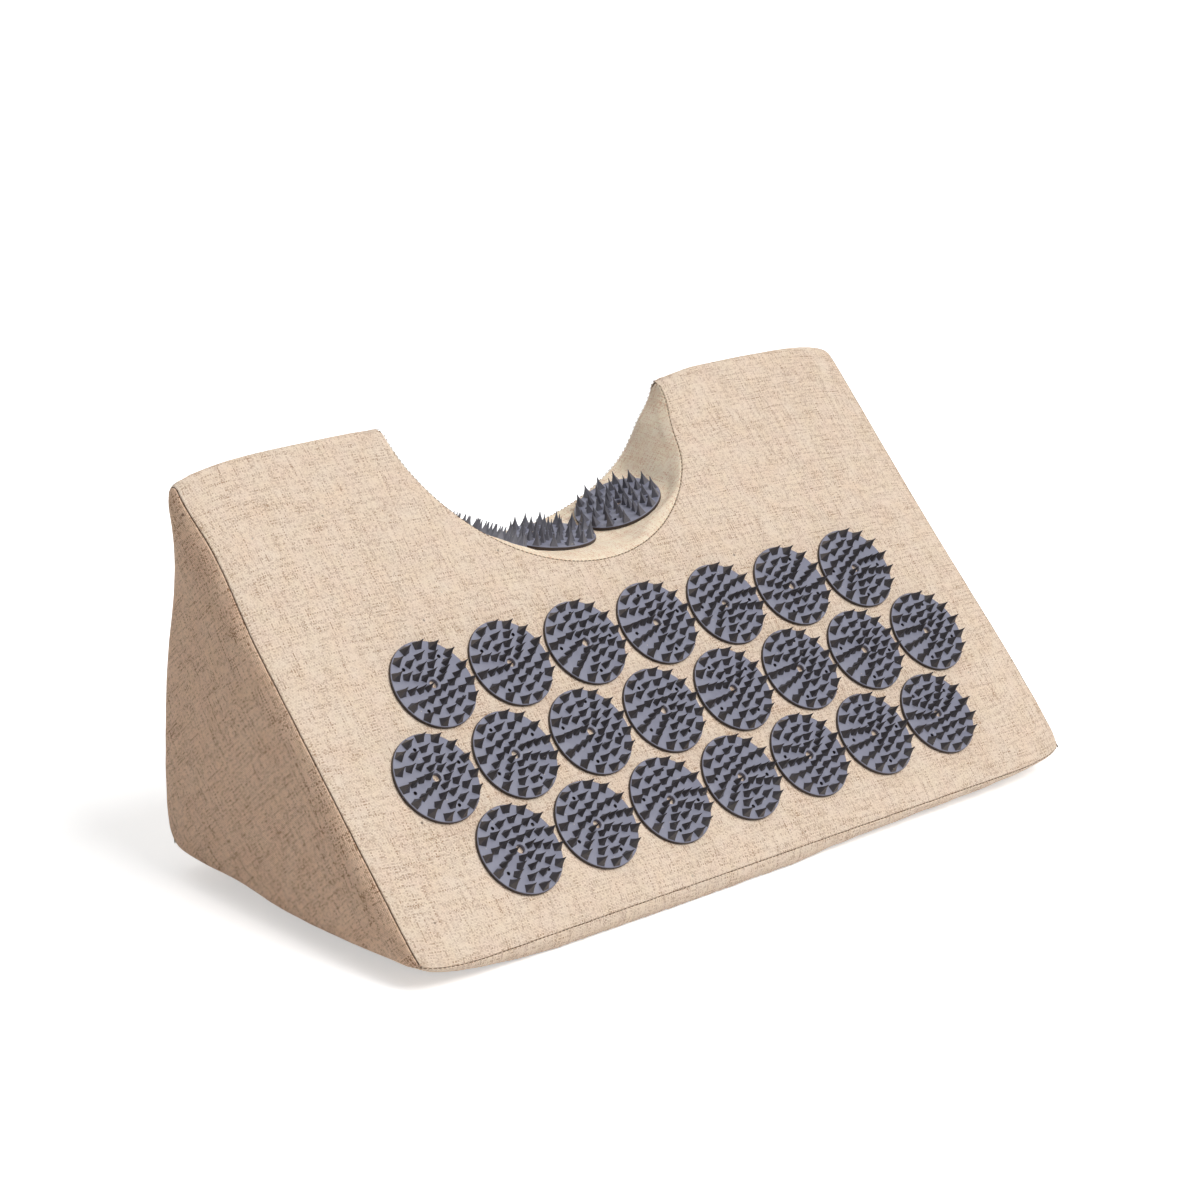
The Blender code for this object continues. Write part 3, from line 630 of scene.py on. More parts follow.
def linen_weave():
    group, tree, given, out = new_group(
        "linen_weave", "ShaderNodeTree",
        [("Vector", "NodeSocketVector", None),
         ("Yarn Pitch", "NodeSocketFloat", 0.00063),
         ("Pale Yarn", "NodeSocketColor", (0.80, 0.66, 0.50, 1.0)),
         ("Dark Yarn", "NodeSocketColor", (0.55, 0.39, 0.25, 1.0)),
         ("Fleck Colour", "NodeSocketColor", (0.10, 0.055, 0.03, 1.0)),
         ("Flecks", "NodeSocketFloat", 1.0),
         ("Contrast", "NodeSocketFloat", 1.0)],
        [("Color", "NodeSocketColor"), ("Height", "NodeSocketFloat"), ("Roughness", "NodeSocketFloat")])
    place = given["Vector"]
    wander = tree.noise(place, 160.0, 2.0)
    sway = tree.math("MULTIPLY_ADD", wander, YARN_SWAY, -YARN_SWAY / 2)
    apart = tree.add("ShaderNodeSeparateXYZ", {0: place})
    across = tree.math("ADD", tree.math("DIVIDE", apart.outputs[0], given["Yarn Pitch"]), sway)
    along = tree.math("ADD", tree.math("DIVIDE", apart.outputs[1], given["Yarn Pitch"]), sway)

    def yarn(counted, other, seed):
        """Round section, tone and dip of the yarns that are counted along one direction."""
        number = tree.math("FLOOR", counted)
        middle = tree.math("SUBTRACT", tree.math("FRACT", counted), 0.5)
        square = tree.math("MULTIPLY", middle, middle)
        round_top = tree.math("SQRT", tree.math("MULTIPLY_ADD", square, -3.6, 1.0, clamp=True))
        spot = tree.add("ShaderNodeCombineXYZ", {
            0: tree.math("MULTIPLY", number, 7.31), 1: tree.math("MULTIPLY", other, 0.035), 2: seed})
        tone = tree.noise(spot.outputs[0], 1.0, 3.0, 0.65)
        return round_top, tone

    warp_top, warp_tone = yarn(across, along, 2.0)
    weft_top, weft_tone = yarn(along, across, 9.0)
    crossing = tree.add("ShaderNodeCombineXYZ", {0: tree.math("FLOOR", across), 1: tree.math("FLOOR", along)})
    lot = tree.add("ShaderNodeTexWhiteNoise", {"Vector": crossing.outputs[0]}).outputs["Value"]
    count = tree.math("ADD", tree.math("FLOOR", across), tree.math("FLOOR", along))
    warp_over = tree.math("GREATER_THAN", tree.math("PINGPONG", count, 1.0), 0.5)
    top = tree.add("ShaderNodeMix", {0: warp_over, 2: weft_top, 3: warp_top}).outputs[0]
    under = tree.add("ShaderNodeMix", {0: warp_over, 2: warp_top, 3: weft_top}).outputs[0]
    tone = tree.add("ShaderNodeMix", {0: warp_over, 2: weft_tone, 3: warp_tone}).outputs[0]
    height = tree.math("MULTIPLY", top, tree.math("MULTIPLY_ADD", under, 0.35, 0.65))

    fibre = tree.noise(place, 5200.0, 3.0, 0.7)
    cloud = tree.noise(place, 16.0, 4.0, 0.6)
    shade = tree.math("MULTIPLY_ADD", tone, 2.9, -1.45)
    for varied, most in ((lot, 0.5), (fibre, 0.6), (cloud, 0.15)):
        shade = tree.math("ADD", shade, tree.math("MULTIPLY_ADD", varied, most, -most / 2))
    # Painted shade: the yarns' dips and the yarn that lies under are painted darker, as well as bumped.
    shade = tree.math("ADD", shade, tree.math("MULTIPLY_ADD", height, 1.1, -0.66))
    shade = tree.math("MULTIPLY_ADD", shade, given["Contrast"], 0.58, clamp=True)
    colour = tree.mix(shade, given["Dark Yarn"], given["Pale Yarn"])
    for scale, tint in ((70.0, (1.0, 0.965, 0.96)), (95.0, (1.0, 0.99, 0.95))):
        patch = tree.math("MULTIPLY_ADD", tree.noise(place, scale), 3.0, -1.1, clamp=True)
        colour = tree.mix(patch, colour, tint, "MULTIPLY")

    cells = tree.add("ShaderNodeTexVoronoi", {"Vector": place, "Scale": 125.0}, feature="F1")
    lots = tree.add("ShaderNodeSeparateColor", {0: cells.outputs["Color"]})
    size = tree.math("MULTIPLY_ADD", tree.math("SUBTRACT", lots.outputs[0], 0.72), 0.32, 0.0, clamp=True)
    fleck = tree.math("LESS_THAN", cells.outputs["Distance"], size)
    fleck = tree.math("MULTIPLY", fleck, given["Flecks"])
    fleck = tree.math("MULTIPLY", fleck, tree.math("MULTIPLY_ADD", lots.outputs[1], 0.65, 0.15))
    colour = tree.mix(fleck, colour, given["Fleck Colour"])
    tree.feed(out, {
        "Color": colour, "Height": tree.math("ADD", height, tree.math("MULTIPLY", fibre, 0.25)),
        "Roughness": tree.math("MULTIPLY_ADD", tone, 0.12, 0.82)})
    return group


LINEN_WEAVE = linen_weave()

# %% [markdown]
# Moulded plastic and die-cast metal are never quite even: the gloss is cloudy, fine scratches cross it,
# and dust from the cloth settles on it. One group gives a cloud, scratches and specks for all of them.

# %% Wear on hard surfaces
def handled_surface():
    group, tree, given, out = new_group(
        "handled_surface", "ShaderNodeTree",
        [("Vector", "NodeSocketVector", None),
         ("Scale", "NodeSocketFloat", 1.0),
         ("Scratches", "NodeSocketFloat", 0.5)],
        [("Cloud", "NodeSocketFloat"), ("Scratch", "NodeSocketFloat"), ("Speck", "NodeSocketFloat"),
         ("Height", "NodeSocketFloat")])
    place = tree.add("ShaderNodeVectorMath", {0: given["Vector"], 3: given["Scale"]},
                     operation="SCALE").outputs[0]
    cloud = tree.noise(place, 110.0, 4.0, 0.55)
    stretched = tree.add("ShaderNodeMapping", {"Vector": place, "Rotation": (0.3, 0.7, 0.5),
                                               "Scale": (900.0, 45.0, 60.0)}).outputs[0]
    lines = tree.noise(stretched, 1.0, 3.0, 0.6)
    scratch = tree.math("MULTIPLY", tree.math("GREATER_THAN", lines, 0.66), given["Scratches"])
    specks = tree.add("ShaderNodeTexVoronoi", {"Vector": place, "Scale": 620.0}, feature="F1")
    lots = tree.add("ShaderNodeSeparateColor", {0: specks.outputs["Color"]})
    rare = tree.math("GREATER_THAN", lots.outputs[0], 0.93)
    speck = tree.math("MULTIPLY", rare, tree.math("LESS_THAN", specks.outputs["Distance"], 0.16))
    grain = tree.noise(place, 2600.0, 2.0, 0.5)
    height = tree.math("MULTIPLY_ADD", scratch, -0.4, grain)
    tree.feed(out, {"Cloud": cloud, "Scratch": scratch, "Speck": speck, "Height": height})
    return group


HANDLED = handled_surface()
print("shader groups:", LINEN_WEAVE.name, HANDLED.name)

# %% [markdown]
# ## Materials
#
# Each material places the groups with its own values and feeds one Principled shader. The linen reads
# the panel's own map of the flat cloth, in metres, so the yarns run along the cloth round every bend.


# %% Helpers for materials
def new_material(name):
    material = bpy.data.materials.new(name)
    material.use_nodes = True
    tree = Tree(material.node_tree)
    return material, tree, material.node_tree.nodes["Principled BSDF"]


def bump(tree, height, distance, strength=1.0):
    node = tree.add("ShaderNodeBump", {"Height": height, "Distance": distance, "Strength": strength})
    return node.outputs[0]


def wear_of(tree):
    """The wear group, on the object's own coordinates."""
    wear = tree.add("ShaderNodeGroup", node_tree=HANDLED)
    return tree.feed(wear, {"Vector": tree.add("ShaderNodeTexCoord").outputs["Object"]}).outputs


# %% Linen
WEAVE_BUMP = 0.00022


def linen(name, pale, dark, turn, contrast):
    material, tree, shader = new_material(name)
    cloth = tree.add("ShaderNodeUVMap", uv_map="flat_cloth")
    turned = tree.add("ShaderNodeMapping", {"Vector": cloth.outputs[0], "Rotation": (0.0, 0.0, turn)})
    weave = tree.feed(tree.add("ShaderNodeGroup", node_tree=LINEN_WEAVE), {
        "Vector": turned.outputs[0], "Pale Yarn": (*pale, 1.0), "Dark Yarn": (*dark, 1.0),
        "Contrast": contrast}).outputs
    tree.feed(shader, {
        "Base Color": weave["Color"], "Roughness": weave["Roughness"],
        "Normal": bump(tree, weave["Height"], WEAVE_BUMP), "Specular IOR Level": 0.25,
        "Sheen Weight": 0.06, "Sheen Roughness": 0.5})
    return material


LINEN = linen("linen", (0.905, 0.76, 0.62), (0.46, 0.29, 0.185), radians(2), 1.7)
# The end panels are of the same linen as the slope, painted darker: painted shade on the ends.
LINEN_END_SHADED = linen("linen_end_shaded", (0.83, 0.595, 0.435), (0.30, 0.165, 0.09), radians(47), 2.6)
# The lining is the same linen too, painted lighter: painted light that lifts the shade inside the recess.
LINEN_RECESS_LIT = linen("linen_recess", (1.0, 0.88, 0.70), (0.76, 0.48, 0.32), radians(3), 1.6)


# %% Moulded plastic
PLASTIC_BUMP = 0.00003


def disc_plastic(name, shaded_spike_dark, shaded_spike_pale):
    """Slate plastic, with light painted into its colour.

    The mask spike_share runs from 0 on the plate to 1 at a spike's tip. The plate's face is painted
    lighter and bluer, a painted sheen of the lamps that it mirrors, and the spikes darker, painted shade
    on their flanks. The rim's side and the pin holes are painted dark brown: painted shade.
    """
    material, tree, shader = new_material(name)
    wear = wear_of(tree)
    share = tree.add("ShaderNodeAttribute", attribute_name="spike_share").outputs["Fac"]
    rim = tree.add("ShaderNodeAttribute", attribute_name="rim_and_hole_shade").outputs["Fac"]
    # Painted sheen: the plate's face is painted lighter and bluer than the spikes, which are painted dark for
    # their shade.
    face = tree.mix(wear["Cloud"], (0.165, 0.168, 0.228), (0.215, 0.218, 0.285))
    spike = tree.mix(wear["Cloud"], shaded_spike_dark, shaded_spike_pale)
    colour = tree.mix(tree.math("MULTIPLY_ADD", share, 40.0, 0.0, clamp=True), face, spike)
    # Painted shade: the rim's side and the pin holes are painted dark brown.
    colour = tree.mix(rim, colour, (0.034, 0.022, 0.018))
    colour = tree.mix(tree.math("MULTIPLY", wear["Speck"], 0.5), colour, (0.55, 0.47, 0.38))
    rough = tree.math("MULTIPLY_ADD", wear["Cloud"], 0.22, 0.34)
    rough = tree.math("ADD", rough, tree.math("MULTIPLY", wear["Scratch"], 0.1))
    tree.feed(shader, {
        "Base Color": colour, "Roughness": rough, "Normal": bump(tree, wear["Height"], PLASTIC_BUMP),
        "Specular IOR Level": 0.5})
    return material


def plain_plastic(name, dark, pale, roughness):
    material, tree, shader = new_material(name)
    wear = wear_of(tree)
    tree.feed(shader, {
        "Base Color": tree.mix(wear["Cloud"], dark, pale),
        "Roughness": tree.math("MULTIPLY_ADD", wear["Cloud"], 0.2, roughness),
        "Normal": bump(tree, wear["Height"], PLASTIC_BUMP)})
    return material


# Both are one plastic: the neck discs' spikes are painted lighter, painted light on their sides.
DISC_PLASTIC = disc_plastic("disc_plastic", (0.048, 0.042, 0.045), (0.072, 0.064, 0.068))
NECK_DISC_PLASTIC_LIT = disc_plastic("neck_disc_plastic_lit", (0.095, 0.093, 0.112), (0.140, 0.138, 0.162))
BACKING_PLASTIC = plain_plastic("backing_plastic", (0.012, 0.011, 0.012), (0.03, 0.027, 0.028), 0.4)


# %% Foam, thread and zip
PORE_DEPTH = 0.0004
PLY_DEPTH = 0.00005
RIB_DEPTH = 0.0001
SCRATCH_DEPTH = 0.00002


def foam_material():
    """Open-cell foam: fine pores, and a yellow cast that varies in clouds."""
    material, tree, shader = new_material("foam")
    place = tree.add("ShaderNodeTexCoord").outputs["Object"]
    pores = tree.add("ShaderNodeTexVoronoi", {"Vector": place, "Scale": 900.0}, feature="F1")
    cloud = tree.noise(place, 22.0, 3.0)
    colour = tree.mix(cloud, (0.86, 0.84, 0.72), (0.74, 0.70, 0.55))
    colour = tree.mix(tree.math("MULTIPLY", pores.outputs["Distance"], 0.5), colour, (0.40, 0.37, 0.28))
    tree.feed(shader, {
        "Base Color": colour, "Roughness": tree.math("MULTIPLY_ADD", cloud, 0.1, 0.88),
        "Normal": bump(tree, pores.outputs["Distance"], PORE_DEPTH)})
    return material


def thread_material(name, dark, pale):
    """Twisted sewing thread: fine plies that run round it on a slant."""
    material, tree, shader = new_material(name)
    place = tree.add("ShaderNodeTexCoord").outputs["Object"]
    slant = tree.add("ShaderNodeMapping", {"Vector": place, "Rotation": (0.6, 0.6, 0.6)}).outputs[0]
    plies = tree.add("ShaderNodeTexWave", {"Vector": slant, "Scale": 900.0, "Distortion": 1.5})
    tone = tree.math("MULTIPLY_ADD", tree.noise(place, 300.0), 0.6, 0.0)
    # Painted shade: the grooves between the plies are painted darker, as well as bumped.
    shade = tree.math("MULTIPLY_ADD", plies.outputs["Fac"], 0.4, tone, clamp=True)
    tree.feed(shader, {
        "Base Color": tree.mix(shade, dark, pale), "Roughness": tree.math("MULTIPLY_ADD", shade, 0.1, 0.7),
        "Normal": bump(tree, plies.outputs["Fac"], PLY_DEPTH)})
    return material


def tape_material(name, dark, pale, rib):
    """Zip tape: a fine rib across a narrow band."""
    material, tree, shader = new_material(name)
    place = tree.add("ShaderNodeTexCoord").outputs["Object"]
    ribs = tree.add("ShaderNodeTexWave", {"Vector": place, "Scale": rib, "Distortion": 0.6})
    cloud = tree.noise(place, 260.0, 3.0)
    # Painted shade: the grooves between the ribs are painted darker, as well as bumped.
    shade = tree.math("MULTIPLY_ADD", ribs.outputs["Fac"], 0.6, tree.math("MULTIPLY", cloud, 0.4), clamp=True)
    tree.feed(shader, {
        "Base Color": tree.mix(shade, dark, pale), "Roughness": tree.math("MULTIPLY_ADD", cloud, 0.15, 0.65),
        "Normal": bump(tree, ribs.outputs["Fac"], RIB_DEPTH)})
    return material


def zip_metal():
    """Nickel plate, rubbed: cloudy gloss, scratches, and a warmer tone where the plate is thin."""
    material, tree, shader = new_material("zip_metal")
    wear = wear_of(tree)
    colour = tree.mix(wear["Cloud"], (0.50, 0.48, 0.45), (0.62, 0.60, 0.57))
    colour = tree.mix(tree.math("MULTIPLY", wear["Scratch"], 0.6), colour, (0.72, 0.64, 0.50))
    tree.feed(shader, {
        "Base Color": colour, "Roughness": tree.math("MULTIPLY_ADD", wear["Cloud"], 0.3, 0.18),
        "Normal": bump(tree, wear["Height"], SCRATCH_DEPTH), "Metallic": 1.0})
    return material


FOAM = foam_material()
SEAM_THREAD = thread_material("seam_thread", (0.10, 0.055, 0.03), (0.26, 0.16, 0.09))
# The end seams' thread is the same thread, painted darker: painted shade on the ends.
END_SEAM_THREAD_SHADED = thread_material("end_seam_thread_shaded", (0.050, 0.026, 0.014), (0.13, 0.075, 0.042))
ZIP_TAPE = tape_material("zip_tape", (0.42, 0.30, 0.20), (0.60, 0.46, 0.33), 700.0)
ZIP_COIL = tape_material("zip_coil", (0.46, 0.34, 0.23), (0.66, 0.52, 0.38), 1100.0)
ZIP_METAL = zip_metal()
print(len(bpy.data.materials), "materials in the file")

# %% [markdown]
# ## A sewn panel
#
# Each panel starts as its flat pattern: an outline, with the cloth on the left of its travel, and holes.
# The pattern is filled with points, closer together along the seams, and a Delaunay triangulation joins
# them. A subdivided grid with Boolean cuts would also do, but it leaves long thin faces along the cuts
# just where the seams catch the light. Every point then goes to its place on the stuffed surface.
#
# Along a seam the two cloths roll inwards and meet, because the seam allowance is pulled inside. The roll
# is an arc that touches the surface at one end and the bisector between the two cloths at the other. The
# allowance behind it lifts the cloth a little, and the stitches gather it into faint ripples.

# %% Sizes of the seams
CLOTH = 0.0004
SEAM_ROLL = 0.00045
STITCH_DEPTH = 0.60
SHALLOW_STITCH_DEPTH = 0.25
ALLOWANCE = 0.0062
ALLOWANCE_LIFT = 0.00025
ALLOWANCE_STARTS = (0.0015, 0.0030)
ALLOWANCE_ENDS = (ALLOWANCE - 0.0008, ALLOWANCE + 0.0004)
ALLOWANCE_RATE = 31.0
RIPPLE = 0.00035
RIPPLE_REACH = 0.005
RIPPLE_RATE = 120.0
SLACK = 0.0005
SLACK_RATE = 17.0
SLACK_RUN = 0.012
PINNED = 0.0006
PINNED_REACH = 0.0055
EDGE_ROWS = (0.0002, 0.00045, 0.0008, 0.0013, 0.0019, 0.0030, 0.0046, 0.0056, 0.0066, 0.0080)
SEAM_STEP = 0.0028
GRID_FROM_ROWS = 0.0015
GRID_STEP = 0.0038
RIDGE_GRID_STEP = 0.0007
RIDGE_GRID_PAST = 0.002
BOTTOM_GRID_STEP = 0.0045
TOE_GRID_STEP = 0.0010


# %% [markdown]
# Stuffing never fills a sewn corner to its point, and this cover wasn't sewn quite evenly: its left end
# is drawn in below the ridge and arches at the hem, the right end stands out lower down, and beside the
# recess the ridge sags and the back edge leans in. These are small moves of the whole cover, so one
# function makes them for the panels, the stitches and the foam alike. They fade out before the discs. A
# pair of numbers with an axis in its name says where a move fades in or out, and a hill has its middle
# and its reach, all in metres.

# %% Where the cover has settled
CORNER_REACH = 0.0055
TOE_CORNER_ROUND = 0.0014
HEM_CORNER_ROUND = 0.0015
RIDGE_CORNER_ROUND = 0.0007
RIM_SAG = 0.0027
RIDGE_SAG = 0.0012
WAIST = 0.0025
LOBE = 0.0010
RIM_LEAN = 0.0044
RIGHT_END_BULGE = 0.0036
HEM_ARCH = 0.0020

RIM_SAG_X = (0.045, 0.075), (0.084, 0.112)
RIM_SAG_Z = (0.140, 0.168)
RIDGE_SAG_X = (0.050, 0.090), (0.150, 0.190)
RIDGE_SAG_Z = (0.120, 0.165)
RIM_LEAN_X = (0.050, 0.068), (0.086, 0.115)
RIM_LEAN_Y = (0.035, 0.075)
RIM_LEAN_HILL = (0.155, 0.012)
LEFT_END_X = (-0.199, -0.165)
LEFT_END_Y = (0.020, 0.070)
WAIST_HILL = (0.134, 0.032)
LOBE_HILL = (0.163, 0.010)
BULGE_X = (0.165, 0.200)
BULGE_HILL = (0.040, 0.050)
HEM_ARCH_X = (-0.199, -0.150)
HEM_ARCH_HILL = (0.034, 0.020)
HEM_ARCH_Z = (0.010, 0.045)


def hill(value, middle, reach):
    return np.exp(-((value - middle) / reach) ** 2)


def between(value, rise, fall):
    """A smooth step up over one span and down again over another."""
    return ease(value, *rise) * (1.0 - ease(value, *fall))


def rounded_corners():
    """Each sewn corner: its point, the direction into the wedge, and how far stuffing stops short."""
    ridge_y, ridge_z = (float(value) for value in ridge_centre(WIDTH / 2))
    for side in (-1, 1):
        x = side * WIDTH / 2
        yield (x, TOE_Y, CORNER_LIFT), (-0.70 * side, 0.66, 0.26), TOE_CORNER_ROUND
        yield (x, DEPTH / 2, CORNER_LIFT), (-0.62 * side, -0.62, 0.48), HEM_CORNER_ROUND
        yield (x, ridge_y, ridge_z + RIDGE_RADIUS), (-0.66 * side, -0.43, -0.62), RIDGE_CORNER_ROUND


def settle(points):
    """Move points of the cover the way it has settled: in at the corners, then each move in its place."""
    x, y, z = points.T
    moved = points.copy()
    for corner, into, depth in rounded_corners():
        away = np.linalg.norm(points - corner, axis=1)
        moved += depth * hill(away, 0.0, CORNER_REACH)[:, None] * into
    by_rim = between(x, *RIM_SAG_X) * ease(z, *RIM_SAG_Z)
    by_ridge = between(x, *RIDGE_SAG_X) * ease(z, *RIDGE_SAG_Z)
    moved[:, 2] -= RIM_SAG * by_rim + RIDGE_SAG * by_ridge
    left_back = (1.0 - ease(x, *LEFT_END_X)) * ease(y, *LEFT_END_Y)
    drawn_in = WAIST * left_back * hill(z, *WAIST_HILL)
    moved[:, 0] += drawn_in - LOBE * left_back * hill(z, *LOBE_HILL)
    moved[:, 1] -= drawn_in
    by_recess = between(x, *RIM_LEAN_X) * ease(y, *RIM_LEAN_Y)
    moved[:, 0] -= RIM_LEAN * by_recess * hill(z, *RIM_LEAN_HILL)
    moved[:, 0] += RIGHT_END_BULGE * ease(x, *BULGE_X) * hill(z, *BULGE_HILL)
    by_hem = (1.0 - ease(x, *HEM_ARCH_X)) * hill(y, *HEM_ARCH_HILL)
    moved[:, 2] += HEM_ARCH * by_hem * (1.0 - ease(z, *HEM_ARCH_Z))
    moved[:, 2] = np.maximum(moved[:, 2], 0.0)
    return moved


# %% Geometry of the flat pattern
def nearest_edge(points, starts, ends, batch=1500):
    """For each point: the distance to the outline, the nearest edge, and how far along it."""
    span = ends - starts
    length = (span ** 2).sum(1)
    found = [[], [], []]
    for first in range(0, len(points), batch):
        part = points[first:first + batch, None]
        share = np.clip(((part - starts) * span).sum(2) / length, 0.0, 1.0)
        gap = part - (starts + share[..., None] * span)
        away = np.hypot(gap[..., 0], gap[..., 1])
        best = away.argmin(1)
        rows = np.arange(len(best))
        for store, values in zip(found, (away[rows, best], best, share[rows, best])):
            store.append(values)
    return [np.concatenate(store) for store in found]


def inside_outline(points, starts, ends, batch=1500):
    """Whether a line from each point to the right crosses the outline an odd number of times."""
    span = ends - starts
    tall = np.where(span[:, 1] == 0.0, 1.0, span[:, 1])
    found = []
    for first in range(0, len(points), batch):
        x, y = points[first:first + batch, :1], points[first:first + batch, 1:]
        crosses = (starts[:, 1] > y) != (ends[:, 1] > y)
        at = starts[:, 0] + (y - starts[:, 1]) / tall * span[:, 0]
        found.append((crosses & (at > x)).sum(1) % 2 == 1)
    return np.concatenate(found)


def inwards(loop):
    """The direction into the cloth at each point of a loop, which keeps the cloth on its left."""
    step = np.roll(loop, -1, axis=0) - np.roll(loop, 1, axis=0)
    step /= np.linalg.norm(step, axis=1)[:, None]
    return np.column_stack((-step[:, 1], step[:, 0]))


def fill_pattern(loops, columns, rows):
    """Triangles over the pattern: the loops, rows of points along them, and a grid inside."""
    outline = np.concatenate(loops)
    starts = outline
    ends = np.concatenate([np.roll(loop, -1, axis=0) for loop in loops])
    into = np.concatenate([inwards(loop) for loop in loops])
    points = [outline]
    for offset in EDGE_ROWS:
        row = outline + into * offset
        away, _, _ = nearest_edge(row, starts, ends)
        points.append(row[(away > 0.93 * offset) & inside_outline(row, starts, ends)])
    grid = np.array([(x, y) for x in columns for y in rows])
    grid = grid[inside_outline(grid, starts, ends)]
    away, _, _ = nearest_edge(grid, starts, ends)
    points.append(grid[away > EDGE_ROWS[-1] + GRID_FROM_ROWS])
    points = np.concatenate(points)
    edges = []
    first = 0
    for loop in loops:
        edges += [(first + index, first + (index + 1) % len(loop)) for index in range(len(loop))]
        first += len(loop)
    spots, _, faces, _, _, _ = delaunay_2d_cdt([Vector(point) for point in points], edges, [], 0, 1e-7)
    spots = np.array(spots)
    faces = np.array(faces)
    middles = spots[faces].mean(1)
    return spots, faces[inside_outline(middles, starts, ends)], starts, ends, into


# %% From the flat pattern to the stuffed panel
DISC_MIDDLES = np.array([place.translation for place in DISC_PLACES.values()])
NUDGE = 0.0001


def surface_frame(surface, spots):
    """The surface's points, its outward normals, and its two directions, at places on the pattern."""
    x, y = spots[:, 0], spots[:, 1]
    along_x = (surface(x + NUDGE, y) - surface(x - NUDGE, y)) / (2 * NUDGE)
    along_y = (surface(x, y + NUDGE) - surface(x, y - NUDGE)) / (2 * NUDGE)
    normals = np.cross(along_x, along_y)
    normals /= np.linalg.norm(normals, axis=1)[:, None]
    return surface(x, y), normals, along_x, along_y


def flow(points, rate):
    return np.array([noise.noise(Vector(point) * rate) for point in points])


def relief(points, away):
    """How far the cloth stands out: allowance, ripples by the seam, and slack between the discs."""
    to_disc = np.linalg.norm(points[:, None] - DISC_MIDDLES, axis=2).min(1) - DISC_RADIUS
    free = ease(to_disc, -0.001, PINNED_REACH)
    lift = ALLOWANCE_LIFT * ease(away, *ALLOWANCE_STARTS)
    lift *= 1.0 - ease(away, *ALLOWANCE_ENDS)
    lift *= 0.35 + 0.65 * ease(flow(points, ALLOWANCE_RATE), -0.1, 0.3)
    reach = away / RIPPLE_REACH
    ripple = RIPPLE * flow(points, RIPPLE_RATE) * reach * np.exp(1.0 - reach)
    slack = (PINNED + SLACK * flow(points, SLACK_RATE)) * swell(away, SLACK_RUN)
    return (lift + ripple + slack) * free


def seam_roll(away, normals, beyond):
    """How far in from the seam, and how deep, the rolled edge brings each point."""
    fold = np.arccos(np.clip((normals * beyond).sum(1), -1.0, 1.0))
    half = pi / 2 - fold / 2
    start = SEAM_ROLL / np.tan(half / 2)
    turn = (pi - half) * (1.0 - np.clip(away / start, 0.0, 1.0))
    shift = np.where(away < start, start - SEAM_ROLL * np.sin(turn) - away, 0.0)
    return shift, SEAM_ROLL * (1.0 - np.cos(turn)), start, half


def sewn_panel(name, material, surface, loops, beyond, columns, rows, stitch_depth=STITCH_DEPTH):
    """A panel of linen as a mesh with a map of the flat cloth, and the line of stitches in its seams."""
    spots, faces, starts, ends, into = fill_pattern(loops, columns, rows)
    away, edge, _ = nearest_edge(spots, starts, ends)
    points, normals, along_x, along_y = surface_frame(surface, spots)
    sides = into[edge]
    across = along_x * sides[:, :1] + along_y * sides[:, 1:]
    across /= np.linalg.norm(across, axis=1)[:, None]
    shift, depth, _, _ = seam_roll(away, normals, beyond[edge])
    points = points + across * shift[:, None] - normals * depth[:, None]
    points = settle(points + normals * relief(points, away)[:, None])

    mesh = bpy.data.meshes.new(name)
    mesh.from_pydata(points.tolist(), [], faces.tolist())
    flat = mesh.uv_layers.new(name="flat_cloth")
    corners = np.array([loop.vertex_index for loop in mesh.loops])
    flat.data.foreach_set("uv", spots[corners].ravel())
    mesh.shade_smooth()
    mesh.materials.append(material)
    panel = add_object(name, mesh)
    wall = panel.modifiers.new("cloth", "SOLIDIFY")
    wall.thickness = CLOTH
    wall.offset = -1.0

    at, up, on_x, on_y = surface_frame(surface, starts)
    side = on_x * into[:, :1] + on_y * into[:, 1:]
    side /= np.linalg.norm(side, axis=1)[:, None]
    _, _, start, half = seam_roll(np.zeros(len(at)), up, beyond)
    down_groove = side * np.cos(half)[:, None] - up * np.sin(half)[:, None]
    stitched = settle(at + down_groove * (start * stitch_depth)[:, None])
    print(name + ":", len(faces), "triangles before its thickness")
    return panel, stitched


def spaced(low, high, step):
    return np.linspace(low, high, 1 + max(1, round(abs(high - low) / step)))


# %% [markdown]
# ## The linen cover
#
# The wrap goes over the slope, the ridge and the back in one piece, with the round cut for the recess and
# a window for the zip at the foot of the back. The ends, the bottom and the lining close it.

# %% Cut the wrap
ZIP_LENGTH = 0.300
ZIP_WIDTH = 0.012
ZIP_GAP = 0.0003
ZIP_MIDDLE_Z = CORNER_LIFT + ZIP_BAND / 2


def rectangle(low, high, step):
    """An anticlockwise outline of a rectangle, and the number of its side at each point."""
    x = spaced(low[0], high[0], step)
    y = spaced(low[1], high[1], step)
    sides = [
        np.column_stack((x[:-1], np.full(len(x) - 1, low[1]))),
        np.column_stack((np.full(len(y) - 1, high[0]), y[:-1])),
        np.column_stack((x[:0:-1], np.full(len(x) - 1, high[1]))),
        np.column_stack((np.full(len(y) - 1, low[0]), y[:0:-1])),
    ]
    return np.concatenate(sides), np.repeat(np.arange(4), [len(side) for side in sides])


def lining_normals(places):
    """The lining's normals along the recess, which point into the opening."""
    x_on, z_on = recess_point(places + NUDGE)
    x_off, z_off = recess_point(places - NUDGE)
    found = np.column_stack((z_off - z_on, (x_on - x_off) * tan(RECESS_FALL), x_on - x_off))
    return found / np.linalg.norm(found, axis=1)[:, None]


